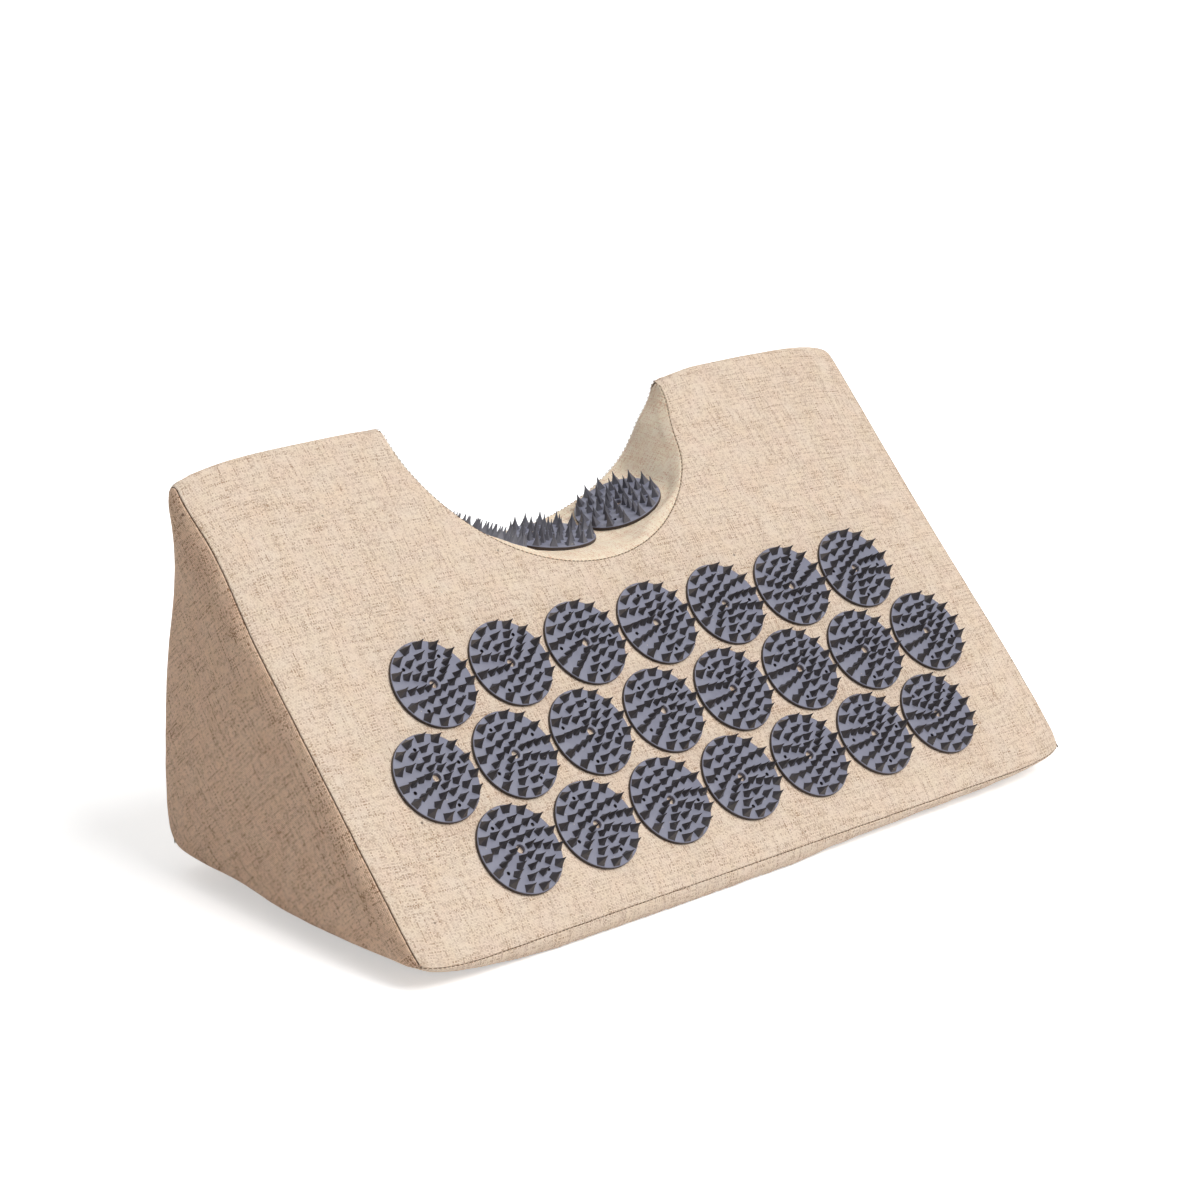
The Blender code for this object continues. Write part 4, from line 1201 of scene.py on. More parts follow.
def cut_wrap():
    outline, side = rectangle((-WIDTH / 2, 0.0), (WIDTH / 2, WRAP_CLOTH), SEAM_STEP)
    toe_normal = (0.0, -1.0, 0.0)
    hem_normal = (0.0, 0.51, -0.86)
    others = np.array([toe_normal, (1.0, 0.0, 0.0), hem_normal, (-1.0, 0.0, 0.0)])[side]

    hole = np.concatenate((np.column_stack((CUT_X, CUT_BACK)), np.column_stack((CUT_X, CUT_FRONT))[-2:0:-1]))
    hole_others = np.concatenate((lining_normals(RECESS_PLACES), lining_normals(RECESS_PLACES[-2:0:-1])))

    band = place_on_wrap(plain_height, np.zeros(1), np.array([ZIP_MIDDLE_Z]), np.array([RIDGE_TOP_T]),
                         np.array([WRAP_CLOTH]))
    half = (ZIP_LENGTH / 2 + ZIP_GAP, ZIP_WIDTH / 2 + ZIP_GAP)
    window, window_side = rectangle((-half[0], band[0] - half[1]), (half[0], band[0] + half[1]), SEAM_STEP)
    window, window_side = window[::-1], window_side[::-1]
    facing = np.array([(0.0, 0.0, -1.0), (-1.0, 0.0, 0.0), (0.0, 0.0, 1.0), (1.0, 0.0, 0.0)])[window_side]

    columns = spaced(-WIDTH / 2, WIDTH / 2, GRID_STEP)
    over_ridge = SLOPE_CLOTH + RIDGE_CLOTH
    past = RIDGE_GRID_PAST
    rows = np.concatenate((spaced(0.0, SLOPE_CLOTH - 2 * past, GRID_STEP),
                           spaced(SLOPE_CLOTH - past, over_ridge + past, RIDGE_GRID_STEP),
                           spaced(over_ridge + 2 * past, WRAP_CLOTH, GRID_STEP)))
    loops = [outline, hole, window]
    beyond = np.concatenate((others, hole_others, facing))
    depth = np.full(len(beyond), SHALLOW_STITCH_DEPTH)
    depth[:len(outline)][side % 2 == 1] = STITCH_DEPTH
    panel, stitched = sewn_panel("linen_wrap", LINEN, wrap_surface, loops, beyond, columns, rows, depth)
    parts = np.split(stitched, np.cumsum([len(outline), len(hole)]))
    seams = {label: parts[0][side == number] for number, label in enumerate(("toe", "right", "hem", "left"))}
    seams["recess_back"] = parts[1][:len(CUT_X)]
    seams["recess_front"] = parts[1][len(CUT_X) - 1:]
    return panel, seams


wrap, seams = cut_wrap()


# %% Cut the bottom
def panel_normals(surface, spots):
    return surface_frame(surface, spots)[1]


def cut_bottom():
    outline, side = rectangle((-WIDTH / 2, 0.0), (WIDTH / 2, BOTTOM_CLOTH), SEAM_STEP)
    back_normal = (0.0, 0.97, 0.24)
    slope_normal = (0.0, -SLOPE_SIN, SLOPE_COS)
    others = np.array([back_normal, (1.0, 0.0, 0.0), slope_normal, (-1.0, 0.0, 0.0)])[side]
    columns = spaced(-WIDTH / 2, WIDTH / 2, BOTTOM_GRID_STEP)
    toe_from = BELLY_BACK_CLOTH + BELLY_FLAT_CLOTH
    rows = np.concatenate((spaced(0.0, toe_from - 0.002, BOTTOM_GRID_STEP),
                           spaced(toe_from, BOTTOM_CLOTH, TOE_GRID_STEP)))
    panel, stitched = sewn_panel("linen_bottom", LINEN, bottom_surface, [outline], others, columns, rows)
    return panel, {"bottom_right": stitched[side == 1], "bottom_left": stitched[side == 3]}


bottom, bottom_seams = cut_bottom()
seams.update(bottom_seams)


# %% [markdown]
# An end panel is a triangle with its three sides sewn in. It crowns outwards, steepest by the seams.
# The crown is a product of one swelling term for each side, which stays smooth in the corners, where a
# distance to the nearest side would leave creases.

# %% Cut the ends
RIDGE_OUTLINE_STEP = 0.0008
RIDGE_OUTLINE_PAST = 0.001
END_MIDDLE = 0.62
END_LEAN = 0.0006
END_LEAN_RATE = 60.0
END_LEAN_RUN = 0.06


def end_outline(side):
    """The end panel's outline in its own plane, anticlockwise from outside, and its neighbours' normals."""
    edge = side * WIDTH / 2
    t = spaced(0.0, WRAP_CLOTH, SEAM_STEP)
    over_ridge = SLOPE_CLOTH + RIDGE_CLOTH
    plain = t[(t < SLOPE_CLOTH - RIDGE_OUTLINE_PAST) | (t > over_ridge + RIDGE_OUTLINE_PAST)]
    t = np.sort(np.concatenate((plain, spaced(SLOPE_CLOTH, over_ridge, RIDGE_OUTLINE_STEP))))[::-1]
    b = spaced(0.0, BOTTOM_CLOTH, SEAM_STEP)
    under = bottom_surface(np.full(len(b), edge), b)[::-1]
    over = wrap_surface(np.full(len(t), edge), t)
    under_normals = panel_normals(bottom_surface, np.column_stack((np.full(len(b), edge), b)))[::-1]
    over_normals = panel_normals(wrap_surface, np.column_stack((np.full(len(t), edge), t)))
    ring = np.concatenate((under[:-1], over[:-1]))
    normals = np.concatenate((under_normals[:-1], over_normals[:-1]))
    flat = ring[:, 1:] * (side, 1.0)
    return (flat, normals) if side > 0 else (flat[::-1], normals[::-1])


def up_the_slope(y, z):
    """How far up the slope a point is, and how far inside its plane."""
    y, z = y - TOE_Y, z - CORNER_LIFT
    return y * SLOPE_COS + z * SLOPE_SIN, y * SLOPE_SIN - z * SLOPE_COS


def end_surface(side):
    middle_y = TOE_Y + DEPTH * END_MIDDLE
    t = spaced(0.0, WRAP_CLOTH, SEAM_STEP / 4)
    b = spaced(BOTTOM_CLOTH, 0.0, SEAM_STEP / 4)
    over = wrap_surface(np.full(len(t), side * WIDTH / 2), t)
    under = bottom_surface(np.full(len(b), side * WIDTH / 2), b)
    slope_seam = up_the_slope(*over[t < RIDGE_TOP_T, 1:].T)
    back_seam = over[t > RIDGE_TOP_T][::-1]

    def surface(y, z):
        y = y * side
        climbed, from_slope = up_the_slope(y, z)
        from_slope = from_slope - np.interp(climbed, *slope_seam)
        from_back = np.interp(z, back_seam[:, 2], back_seam[:, 1]) - y
        from_bottom = z - np.interp(y, under[:, 1], under[:, 2])
        crown = END_CROWN
        for away in (from_slope, from_back, from_bottom):
            crown = crown * (1.0 - np.exp(-np.maximum(away, 0.0) / END_CROWN_RUN))
        lean = END_LEAN * np.sin((y - middle_y) * END_LEAN_RATE)
        lean = lean * swell(np.maximum(from_bottom, 0.0), END_LEAN_RUN)
        return np.column_stack((side * (WIDTH / 2 + crown + lean * crown / END_CROWN), y, z))

    return surface


def cut_end(name, side):
    outline, normals = end_outline(side)
    columns = spaced(outline[:, 0].min(), outline[:, 0].max(), GRID_STEP)
    rows = spaced(outline[:, 1].min(), outline[:, 1].max(), GRID_STEP)
    # The ends take the linen painted darker: painted shade.
    panel, _ = sewn_panel(name, LINEN_END_SHADED, end_surface(side), [outline], normals, columns, rows)
    return panel


end_left = cut_end("linen_end_left", -1)
end_right = cut_end("linen_end_right", 1)


# %% Cut the lining of the recess
LINING_GRID_ALONG = 0.0022
LINING_GRID_ACROSS = 0.0026


def cut_lining():
    front = np.column_stack((RECESS_PLACES, CUT_FRONT_Y))
    back = np.column_stack((RECESS_PLACES, CUT_BACK_Y))[-2:0:-1]
    front_normals = panel_normals(wrap_surface, np.column_stack((CUT_X, CUT_FRONT)))
    back_normals = panel_normals(wrap_surface, np.column_stack((CUT_X, CUT_BACK)))[-2:0:-1]
    outline = np.concatenate((front, back))
    beyond = np.concatenate((front_normals, back_normals))
    columns = spaced(-RECESS_HALF_ARC, RECESS_HALF_ARC, LINING_GRID_ALONG)
    rows = spaced(CUT_FRONT_Y.min(), CUT_BACK_Y.max(), LINING_GRID_ACROSS)
    # The lining takes the linen painted lighter, to lift the shade in the recess: painted light.
    panel, _ = sewn_panel("linen_lining", LINEN_RECESS_LIT, lining_surface, [outline], beyond, columns, rows)
    return panel


lining = cut_lining()

# %% [markdown]
# ## The foam
#
# The foam is hidden, but it fills the cover, so it is made as a solid block: the model's own foam, merged,
# remeshed and smoothed, which rounds its cut edges the way a knife and the cover's pull leave them.

# %% Shape the foam
FOAM_VOXEL = 0.004
FOAM_INSIDE = 0.0008
FOAM_SMOOTHING = 4
WELD = 0.00001


def belly_height(x, y):
    """The bottom cloth's height where it turns up to the toe seam, and 0 behind that."""
    toe_y, toe_z, toe_run = toe_of(x)
    share = np.clip(1.0 - (y - toe_y) / toe_run, 0.0, 1.0)
    low = toe_floor(x)
    return np.where(share > 0.0, low + (toe_z - low) * (1.0 - np.sqrt(1.0 - share ** 2)), 0.0)


def shape_foam():
    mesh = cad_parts["foam_core"].data.copy()
    mesh.name = "foam_block"
    bm = bmesh.new()
    bm.from_mesh(mesh)
    bmesh.ops.remove_doubles(bm, verts=bm.verts, dist=WELD)
    bm.to_mesh(mesh)
    bm.free()
    block = add_object("foam_block", mesh)
    remesh = block.modifiers.new("cut_block", "REMESH")
    remesh.mode = "VOXEL"
    remesh.voxel_size = FOAM_VOXEL
    relax = block.modifiers.new("rounded", "SMOOTH")
    relax.iterations = FOAM_SMOOTHING
    solid = evaluated_mesh(block)
    block.modifiers.clear()
    block.data = solid
    points = settle(np.array([vertex.co for vertex in solid.vertices]))
    points[:, 2] = np.maximum(points[:, 2], belly_height(points[:, 0], points[:, 1]) + FOAM_INSIDE)
    solid.vertices.foreach_set("co", points.ravel())
    solid.materials.clear()
    solid.materials.append(FOAM)
    solid.shade_smooth()
    print("foam:", len(solid.vertices), "points")
    return block


foam = shape_foam()

# %% [markdown]
# ## The spiked discs
#
# One disc is modelled and the 25 copies take its mesh. The plate is a turned profile with a rounded rim,
# drilled in the middle and for the four pins. The spikes follow a rule, so a Geometry Nodes tree sets
# them: one ring of points for each of the four rings, a spike on every point, turned to face outwards.
# A Boolean union in the same tree makes plate and spikes one moulded piece.

# %% Model one spike
SPIKE_REFERENCE = 0.0040
SPIKE_EDGE = 0.00018
SPIKE_TIP = 0.00035
SPIKE_ROOT = 0.0004
SPIKE_LEVELS = ((-SPIKE_ROOT, 1.06), (0.0, 1.0), (0.0005, 0.86), (0.0026, 0.47), (0.0042, 0.23),
                (SPIKE_HEIGHT - 0.0003, 0.0))
SPIKE_CORNERS = ((1, 1), (-1, 1), (-1, -1), (1, -1))


def spike_mesh():
    """A pyramid with a slightly hollow flank, broken edges and a blunt tip, its foot at z = 0."""
    bm = bmesh.new()
    rings = []
    for height, width in SPIKE_LEVELS:
        half = max(width * SPIKE_REFERENCE, SPIKE_TIP) / 2
        rings.append([bm.verts.new((half * a, half * b, height)) for a, b in SPIKE_CORNERS])
    tip = bm.verts.new((0.0, 0.0, SPIKE_HEIGHT))
    for low, high in zip(rings, rings[1:]):
        for index in range(4):
            after = (index + 1) % 4
            bm.faces.new((low[index], low[after], high[after], high[index]))
    for index in range(4):
        bm.faces.new((rings[-1][index], rings[-1][(index + 1) % 4], tip))
    bm.faces.new(rings[0][::-1])
    upright = [edge for edge in bm.edges
               if abs(edge.verts[0].co.z - edge.verts[1].co.z) > 0.0001 and tip not in edge.verts]
    bmesh.ops.bevel(bm, geom=upright, offset=SPIKE_EDGE, segments=1, affect="EDGES", clamp_overlap=True)
    bmesh.ops.recalc_face_normals(bm, faces=bm.faces)
    return mesh_in_order("spike", bm)


SPIKE = spike_mesh()
print("spike:", len(SPIKE.polygons), "faces")

# %% Turn and drill the plate
RIM_ROUND = 0.0005
RIM_BREAK = 0.0002
HOLE_ROUND = 0.0003
PLATE_WELD = 0.000005
PLATE_SIDES = 64
CENTRE_HOLE = 0.0020
PIN_HOLE = 0.0009
PIN_HOLE_FLOOR = 0.0003
PIN_CIRCLE = 0.0145
PIN_COUNT = 4
HOLE_SIDES = 16


def arc_points(middle, radius, start, end, count):
    return [(middle[0] + radius * cos(turn), middle[1] + radius * sin(turn))
            for turn in np.linspace(start, end, count)]


def turned_plate():
    """The plate's profile, spun round: flat below, a small round at the top of the rim."""
    top = DISC_LIFT + DISC_PLATE
    profile = [(CENTRE_HOLE + RIM_BREAK, 0.0), (DISC_RADIUS - RIM_BREAK, 0.0), (DISC_RADIUS, RIM_BREAK)]
    profile += arc_points((DISC_RADIUS - RIM_ROUND, top - RIM_ROUND), RIM_ROUND, 0.0, pi / 2, 5)
    profile += arc_points((CENTRE_HOLE + HOLE_ROUND, top - HOLE_ROUND), HOLE_ROUND, pi / 2, pi, 4)
    profile += [(CENTRE_HOLE, RIM_BREAK)]
    bm = bmesh.new()
    verts = [bm.verts.new((x, 0.0, z)) for x, z in profile]
    edges = [bm.edges.new((verts[index], verts[(index + 1) % len(verts)])) for index in range(len(verts))]
    bmesh.ops.spin(bm, geom=verts + edges, axis=(0, 0, 1), cent=(0, 0, 0), steps=PLATE_SIDES, angle=2 * pi)
    bmesh.ops.remove_doubles(bm, verts=bm.verts, dist=PLATE_WELD)
    bmesh.ops.recalc_face_normals(bm, faces=bm.faces)
    return bm


def pin_places():
    for index in range(PIN_COUNT):
        yield Matrix.Rotation(index * 2 * pi / PIN_COUNT, 4, "Z") @ Vector((PIN_CIRCLE, 0.0, 0.0))


def pin_drills():
    """The four pin holes. Each is closed below by the head of its pin."""
    bm = bmesh.new()
    for spot in pin_places():
        up = Vector((0.0, 0.0, DISC_LIFT + PIN_HOLE_FLOOR + DISC_PLATE))
        bmesh.ops.create_cone(bm, cap_ends=True, segments=HOLE_SIDES, radius1=PIN_HOLE, radius2=PIN_HOLE,
                              depth=2 * DISC_PLATE, matrix=Matrix.Translation(spot + up))
    return bm


# %% The tree that sets the spikes
SHARP_DISC = radians(28)
RINGS = ((6, 0.0046, 0.0027), (9, 0.0087, 0.0029), (12, 0.0132, 0.0030), (15, 0.0182, 0.0037))


def disc_tree():
    inputs = [("Plate", "NodeSocketGeometry", None), ("Spike", "NodeSocketObject", None),
              ("Drills", "NodeSocketObject", None), ("Plate Top", "NodeSocketFloat", DISC_LIFT + DISC_PLATE),
              ("Material", "NodeSocketMaterial", None)]
    for number, (count, radius, foot) in enumerate(RINGS):
        inputs += [(f"Spikes in Ring {number + 1}", "NodeSocketInt", count),
                   (f"Radius of Ring {number + 1}", "NodeSocketFloat", radius),
                   (f"Foot in Ring {number + 1}", "NodeSocketFloat", foot)]
    group, tree, given, out = new_group("spiked_disc", "GeometryNodeTree", inputs,
                                        [("Disc", "NodeSocketGeometry")])
    spike = tree.add("GeometryNodeObjectInfo", {"Object": given["Spike"]}).outputs["Geometry"]
    joined = tree.add("GeometryNodeJoinGeometry")
    for number in range(len(RINGS)):
        count = given[f"Spikes in Ring {number + 1}"]
        radius = given[f"Radius of Ring {number + 1}"]
        foot = given[f"Foot in Ring {number + 1}"]
        index = tree.add("GeometryNodeInputIndex").outputs[0]
        turn = tree.math("DIVIDE", tree.math("MULTIPLY", tree.math("ADD", index, 0.5), 2 * pi), count)
        place = tree.add("ShaderNodeCombineXYZ", {
            0: tree.math("MULTIPLY", tree.math("COSINE", turn), radius),
            1: tree.math("MULTIPLY", tree.math("SINE", turn), radius),
            2: given["Plate Top"]}).outputs[0]
        points = tree.add("GeometryNodePoints", {"Count": count, "Position": place}).outputs[0]
        width = tree.math("DIVIDE", foot, SPIKE_REFERENCE)
        size = tree.add("ShaderNodeCombineXYZ", {0: width, 1: width, 2: 1.0}).outputs[0]
        angle = tree.add("ShaderNodeCombineXYZ", {2: turn}).outputs[0]
        rotation = tree.add("FunctionNodeEulerToRotation", {0: angle}).outputs[0]
        spikes = tree.add("GeometryNodeInstanceOnPoints", {
            "Points": points, "Instance": spike, "Rotation": rotation, "Scale": size}).outputs[0]
        tree.tree.links.new(spikes, joined.inputs[0])
    apart = tree.add("GeometryNodeRealizeInstances", {0: joined.outputs[0]}).outputs[0]
    drills = tree.add("GeometryNodeObjectInfo", {"Object": given["Drills"]}).outputs["Geometry"]
    drilled = tree.add("GeometryNodeMeshBoolean", {"Mesh 1": given["Plate"], "Mesh 2": drills},
                       operation="DIFFERENCE", solver="EXACT")
    moulded = tree.add("GeometryNodeMeshBoolean", operation="UNION", solver="EXACT")
    tree.tree.links.new(drilled.outputs[0], moulded.inputs["Mesh 2"])
    tree.tree.links.new(apart, moulded.inputs["Mesh 2"])
    whole = tree.add("GeometryNodeRealizeInstances", {0: moulded.outputs[0]}).outputs[0]
    finished = tree.add("GeometryNodeSetMaterial", {"Geometry": whole, "Material": given["Material"]})
    tree.feed(out, {0: finished.outputs[0]})
    return group


def run_tree(piece, group, values):
    """Evaluate a tree on an object with values for its named inputs, and return the plain mesh."""
    modifier = piece.modifiers.new(group.name, "NODES")
    modifier.node_group = group
    for item in group.interface.items_tree:
        if item.item_type == "SOCKET" and item.in_out == "INPUT" and item.name in values:
            modifier[item.identifier] = values[item.name]
    mesh = evaluated_mesh(piece)
    piece.modifiers.clear()
    return mesh


def mould_disc():
    plate = add_object("plate", mesh_in_order("plate", turned_plate()))
    drills = add_object("drills", mesh_in_order("drills", pin_drills()))
    spike = add_object("spike", SPIKE)
    mesh = run_tree(plate, disc_tree(), {"Spike": spike, "Drills": drills, "Material": DISC_PLASTIC})
    for helper in (plate, drills, spike):
        bpy.data.objects.remove(helper)
    heights = np.array([vertex.co.z for vertex in mesh.vertices])
    radii = np.array([hypot(vertex.co.x, vertex.co.y) for vertex in mesh.vertices])
    top = DISC_LIFT + DISC_PLATE
    # spike_share is the mask by which the plastic paints the plate's sheen and the spikes' shade.
    share = mesh.attributes.new("spike_share", "FLOAT", "POINT")
    share.data.foreach_set("value", np.clip((heights - top) / SPIKE_HEIGHT, 0.0, 1.0))
    # The rim's side and the pin holes are marked here for the plastic to paint dark: painted shade.
    rim = mesh.attributes.new("rim_and_hole_shade", "FLOAT", "POINT")
    flat = np.array([vertex.co.to_2d() for vertex in mesh.vertices])
    to_pin = np.min([np.linalg.norm(flat - spot.to_2d(), axis=1) for spot in pin_places()], axis=0)
    on_rim = (radii > DISC_RADIUS - 0.4 * RIM_ROUND) & (heights < top - 0.3 * RIM_ROUND)
    in_hole = (to_pin < 1.05 * PIN_HOLE) & (heights < top - 0.0001)
    rim.data.foreach_set("value", (on_rim | in_hole).astype(float))
    mesh.shade_smooth()
    mesh.set_sharp_from_angle(angle=SHARP_DISC)
    return mesh


DISC = mould_disc()
print("one disc:", len(DISC.polygons), "faces,", len(DISC.vertices), "points")


# %% Set all the discs
def set_discs():
    pieces = {}
    for name, place in DISC_PLACES.items():
        mesh = DISC.copy()
        mesh.transform(place)
        # The neck discs take the plastic with their spikes painted lighter: painted light.
        mesh.materials[0] = NECK_DISC_PLASTIC_LIT if name.startswith("neck") else DISC_PLASTIC
        pieces[name] = add_object("spiked_disc_" + name, mesh)
    return pieces


discs = set_discs()
print(len(discs), "discs set")

# %% [markdown]
# ## The stitches
#
# A lockstitch shows in the groove of a seam as a row of short dashes of thread. The stitches repeat along
# a path, so a Geometry Nodes tree makes them: it resamples the seam's line at the stitch pitch, sets a
# stitch on each point along the line's direction, and varies them a little with a fixed seed.

# %% The tree that sews
STITCH_PITCH = 0.0022
STITCH_LENGTH = 0.0017
TIGHT_STITCH_LENGTH = 0.0026
THREAD_RADIUS = 0.00016
END_THREAD_RADIUS = 0.00026


def stitch_tree():
    inputs = [("Line", "NodeSocketGeometry", None), ("Stitch Pitch", "NodeSocketFloat", STITCH_PITCH),
              ("Stitch Length", "NodeSocketFloat", STITCH_LENGTH),
              ("Thread Radius", "NodeSocketFloat", THREAD_RADIUS), ("Seed", "NodeSocketInt", 1),
              ("Material", "NodeSocketMaterial", None)]
    group, tree, given, out = new_group("row_of_stitches", "GeometryNodeTree", inputs,
                                        [("Stitches", "NodeSocketGeometry")])
    line = tree.add("GeometryNodeResampleCurve", {
        "Curve": given["Line"], "Length": given["Stitch Pitch"]}, mode="LENGTH").outputs[0]
    points = tree.add("GeometryNodeCurveToPoints", {0: line}, mode="EVALUATED")
    stitch = tree.add("GeometryNodeMeshUVSphere", {"Segments": 8, "Rings": 6, "Radius": 1.0}).outputs[0]
    size = tree.add("ShaderNodeCombineXYZ", {
        0: given["Thread Radius"], 1: given["Thread Radius"],
        2: tree.math("MULTIPLY", given["Stitch Length"], 0.5)}).outputs[0]
    vary = tree.add("FunctionNodeRandomValue", {0: (0.85, 0.85, 0.88), 1: (1.15, 1.15, 1.06),
                                                "Seed": given["Seed"]}, data_type="FLOAT_VECTOR")
    size = tree.add("ShaderNodeVectorMath", {0: size, 1: vary.outputs[0]}, operation="MULTIPLY").outputs[0]
    rotation = tree.add("FunctionNodeAlignRotationToVector", {"Vector": points.outputs["Tangent"]}, axis="Z")
    set_on = tree.add("GeometryNodeInstanceOnPoints", {
        "Points": points.outputs[0], "Instance": stitch, "Rotation": rotation.outputs[0], "Scale": size})
    whole = tree.add("GeometryNodeRealizeInstances", {0: set_on.outputs[0]}).outputs[0]
    smooth = tree.add("GeometryNodeSetShadeSmooth", {0: whole}).outputs[0]
    finished = tree.add("GeometryNodeSetMaterial", {"Geometry": smooth, "Material": given["Material"]})
    tree.feed(out, {0: finished.outputs[0]})
    return group


STITCHES = stitch_tree()


def sew(name, line, seed):
    """A row of stitches as one plain mesh. The end seams are sewn tighter, with a thicker thread,
    whose colour is painted darker: painted shade.
    """
    values = {"Seed": seed, "Stitch Length": STITCH_LENGTH, "Thread Radius": THREAD_RADIUS,
              "Material": SEAM_THREAD}
    if name in ("stitches_left", "stitches_right"):
        values.update({"Stitch Length": TIGHT_STITCH_LENGTH, "Thread Radius": END_THREAD_RADIUS,
                       "Material": END_SEAM_THREAD_SHADED})
    path = poly_line(name + "_line", line)
    mesh = run_tree(path, STITCHES, values)
    bpy.data.objects.remove(path)
    mesh.name = name
    return add_object(name, mesh)


stitches = [sew("stitches_" + name, line, seed) for seed, (name, line) in enumerate(sorted(seams.items()))]
print(len(stitches), "seams sewn,", sum(len(row.data.polygons) for row in stitches), "faces of thread")

# %% [markdown]
# ## The zip
#
# A coil zip lets the cover off for washing. It lies in a window at the foot of the back. The tape is a
# flat band in two halves, and the coil is a row of looped teeth, which again repeat along a line.

# %% The zip's own frame
TAPE = 0.0008
COIL_WIDTH = 0.0030
COIL_HEIGHT = 0.0014
COIL_END_MARGIN = 0.004
SLIDER_LENGTH = 0.0090
SLIDER_WIDTH = 0.0066
SLIDER_ROOF = 0.0012
SLIDER_END_MARGIN = 0.002
BAR_RADIUS = 0.0006
EYE_WALL = 0.0005
PULL_LENGTH = 0.020
PULL_THICKNESS = 0.0011
LUG_WIDTH = 0.0010
LUG_TOP = 0.0004
SLIDER_TOP = COIL_HEIGHT + ZIP_GAP + SLIDER_ROOF
EYE_RADIUS = BAR_RADIUS + ZIP_GAP + EYE_WALL
BAR_HEIGHT = SLIDER_TOP + ZIP_GAP + EYE_RADIUS
PULL_WIDTH = SLIDER_WIDTH - 2 * (LUG_WIDTH + ZIP_GAP)
COIL_LENGTH = ZIP_LENGTH - 2 * COIL_END_MARGIN
SHARP_ZIP = radians(35)


def zip_frame():
    """x along the coil, y up the back, z out of it."""
    top = back_place(0.0, 1.0 - ZIP_BAND / BACK_CLOTH)
    hem = back_place(0.0, 1.0)
    lean = atan2(float(hem[0] - top[0]), ZIP_BAND)
    place = Matrix.Translation((0.0, float(hem[0] + top[0]) / 2, ZIP_MIDDLE_Z)) @ Matrix.Rotation(pi, 4, "Z")
    return place @ Matrix.Rotation(pi / 2 - lean, 4, "X")


ZIP_FRAME = zip_frame()
print("zip at", [round(1000 * value, 2) for value in ZIP_FRAME.translation], "mm")


def finish_mesh(name, bm, material, place):
    """A piece of the zip, set in its place, with its edges sharp where they turn far."""
    bmesh.ops.recalc_face_normals(bm, faces=bm.faces)
    mesh = mesh_in_order(name, bm)
    mesh.transform(place)
    mesh.shade_smooth()
    mesh.set_sharp_from_angle(angle=SHARP_ZIP)
    mesh.materials.append(material)
    return add_object(name, mesh)


def add_block(bm, size, middle):
    place = Matrix.Translation(middle) @ Matrix.Diagonal((*size, 1.0))
    bmesh.ops.create_cube(bm, size=1.0, matrix=place)


# %% Weave the tape and wind the coil
SLIT = 0.0004
BEAD_WIDTH = 0.0008
BEAD_FROM_COIL = 0.0006
TAPE_EDGE = 0.00015
TOOTH_PITCH = 0.0013
TOOTH_RADIUS = 0.00034
TOOTH_WELD = 0.000001
COIL_INSET = 0.0008


def zip_tape():
    """Two bands with a slit between them, each with a beaded edge."""
    bm = bmesh.new()
    for side in (-1, 1):
        width = (ZIP_WIDTH - SLIT) / 2
        middle = side * (width + SLIT) / 2
        add_block(bm, (ZIP_LENGTH, width, TAPE * 0.6), (0.0, middle, -TAPE * 0.7))
        bead = side * (COIL_WIDTH / 2 + BEAD_FROM_COIL)
        add_block(bm, (ZIP_LENGTH, BEAD_WIDTH, TAPE * 0.9), (0.0, bead, -TAPE * 0.45))
    bmesh.ops.bevel(bm, geom=bm.edges[:], offset=TAPE_EDGE, segments=2, affect="EDGES")
    return finish_mesh("zip_tape_woven", bm, ZIP_TAPE, ZIP_FRAME)


def coil_tree():
    inputs = [("Line", "NodeSocketGeometry", None), ("Tooth Pitch", "NodeSocketFloat", TOOTH_PITCH),
              ("Tooth", "NodeSocketObject", None), ("Material", "NodeSocketMaterial", None)]
    group, tree, given, out = new_group("zip_coil", "GeometryNodeTree", inputs,
                                        [("Coil", "NodeSocketGeometry")])
    line = tree.add("GeometryNodeResampleCurve", {
        "Curve": given["Line"], "Length": given["Tooth Pitch"]}, mode="LENGTH").outputs[0]
    tooth = tree.add("GeometryNodeObjectInfo", {"Object": given["Tooth"]}).outputs["Geometry"]
    index = tree.add("GeometryNodeInputIndex").outputs[0]
    half_turn = tree.math("MULTIPLY", tree.math("MODULO", index, 2.0), pi)
    angle = tree.add("ShaderNodeCombineXYZ", {2: half_turn}).outputs[0]
    rotation = tree.add("FunctionNodeEulerToRotation", {0: angle}).outputs[0]
    set_on = tree.add("GeometryNodeInstanceOnPoints", {
        "Points": line, "Instance": tooth, "Rotation": rotation})
    whole = tree.add("GeometryNodeRealizeInstances", {0: set_on.outputs[0]}).outputs[0]
    finished = tree.add("GeometryNodeSetMaterial", {"Geometry": whole, "Material": given["Material"]})
    tree.feed(out, {0: finished.outputs[0]})
    return group


def tooth_object():
    """One loop of the coil: a thick thread that rises from one tape, crosses and hooks down."""
    half, high = COIL_WIDTH / 2, COIL_HEIGHT
    path = ((-half + 0.0002, 0.0002), (-half + 0.0001, 0.0007), (-half * 0.5, high - 0.00036),
            (half * 0.35, high - 0.00036), (half * 0.62, high - 0.0007), (half * 0.35, 0.0003))
    tooth = poly_line("tooth", [(0.0, across, up) for across, up in path])
    tooth.data.bevel_depth = TOOTH_RADIUS
    tooth.data.bevel_resolution = 1
    tooth.data.use_fill_caps = True
    mesh = evaluated_mesh(tooth)
    bpy.data.objects.remove(tooth)
    bm = bmesh.new()
    bm.from_mesh(mesh)
    bmesh.ops.remove_doubles(bm, verts=bm.verts, dist=TOOTH_WELD)
    bmesh.ops.recalc_face_normals(bm, faces=bm.faces)
    bm.to_mesh(mesh)
    bm.free()
    mesh.shade_smooth()
    return add_object("tooth", mesh)


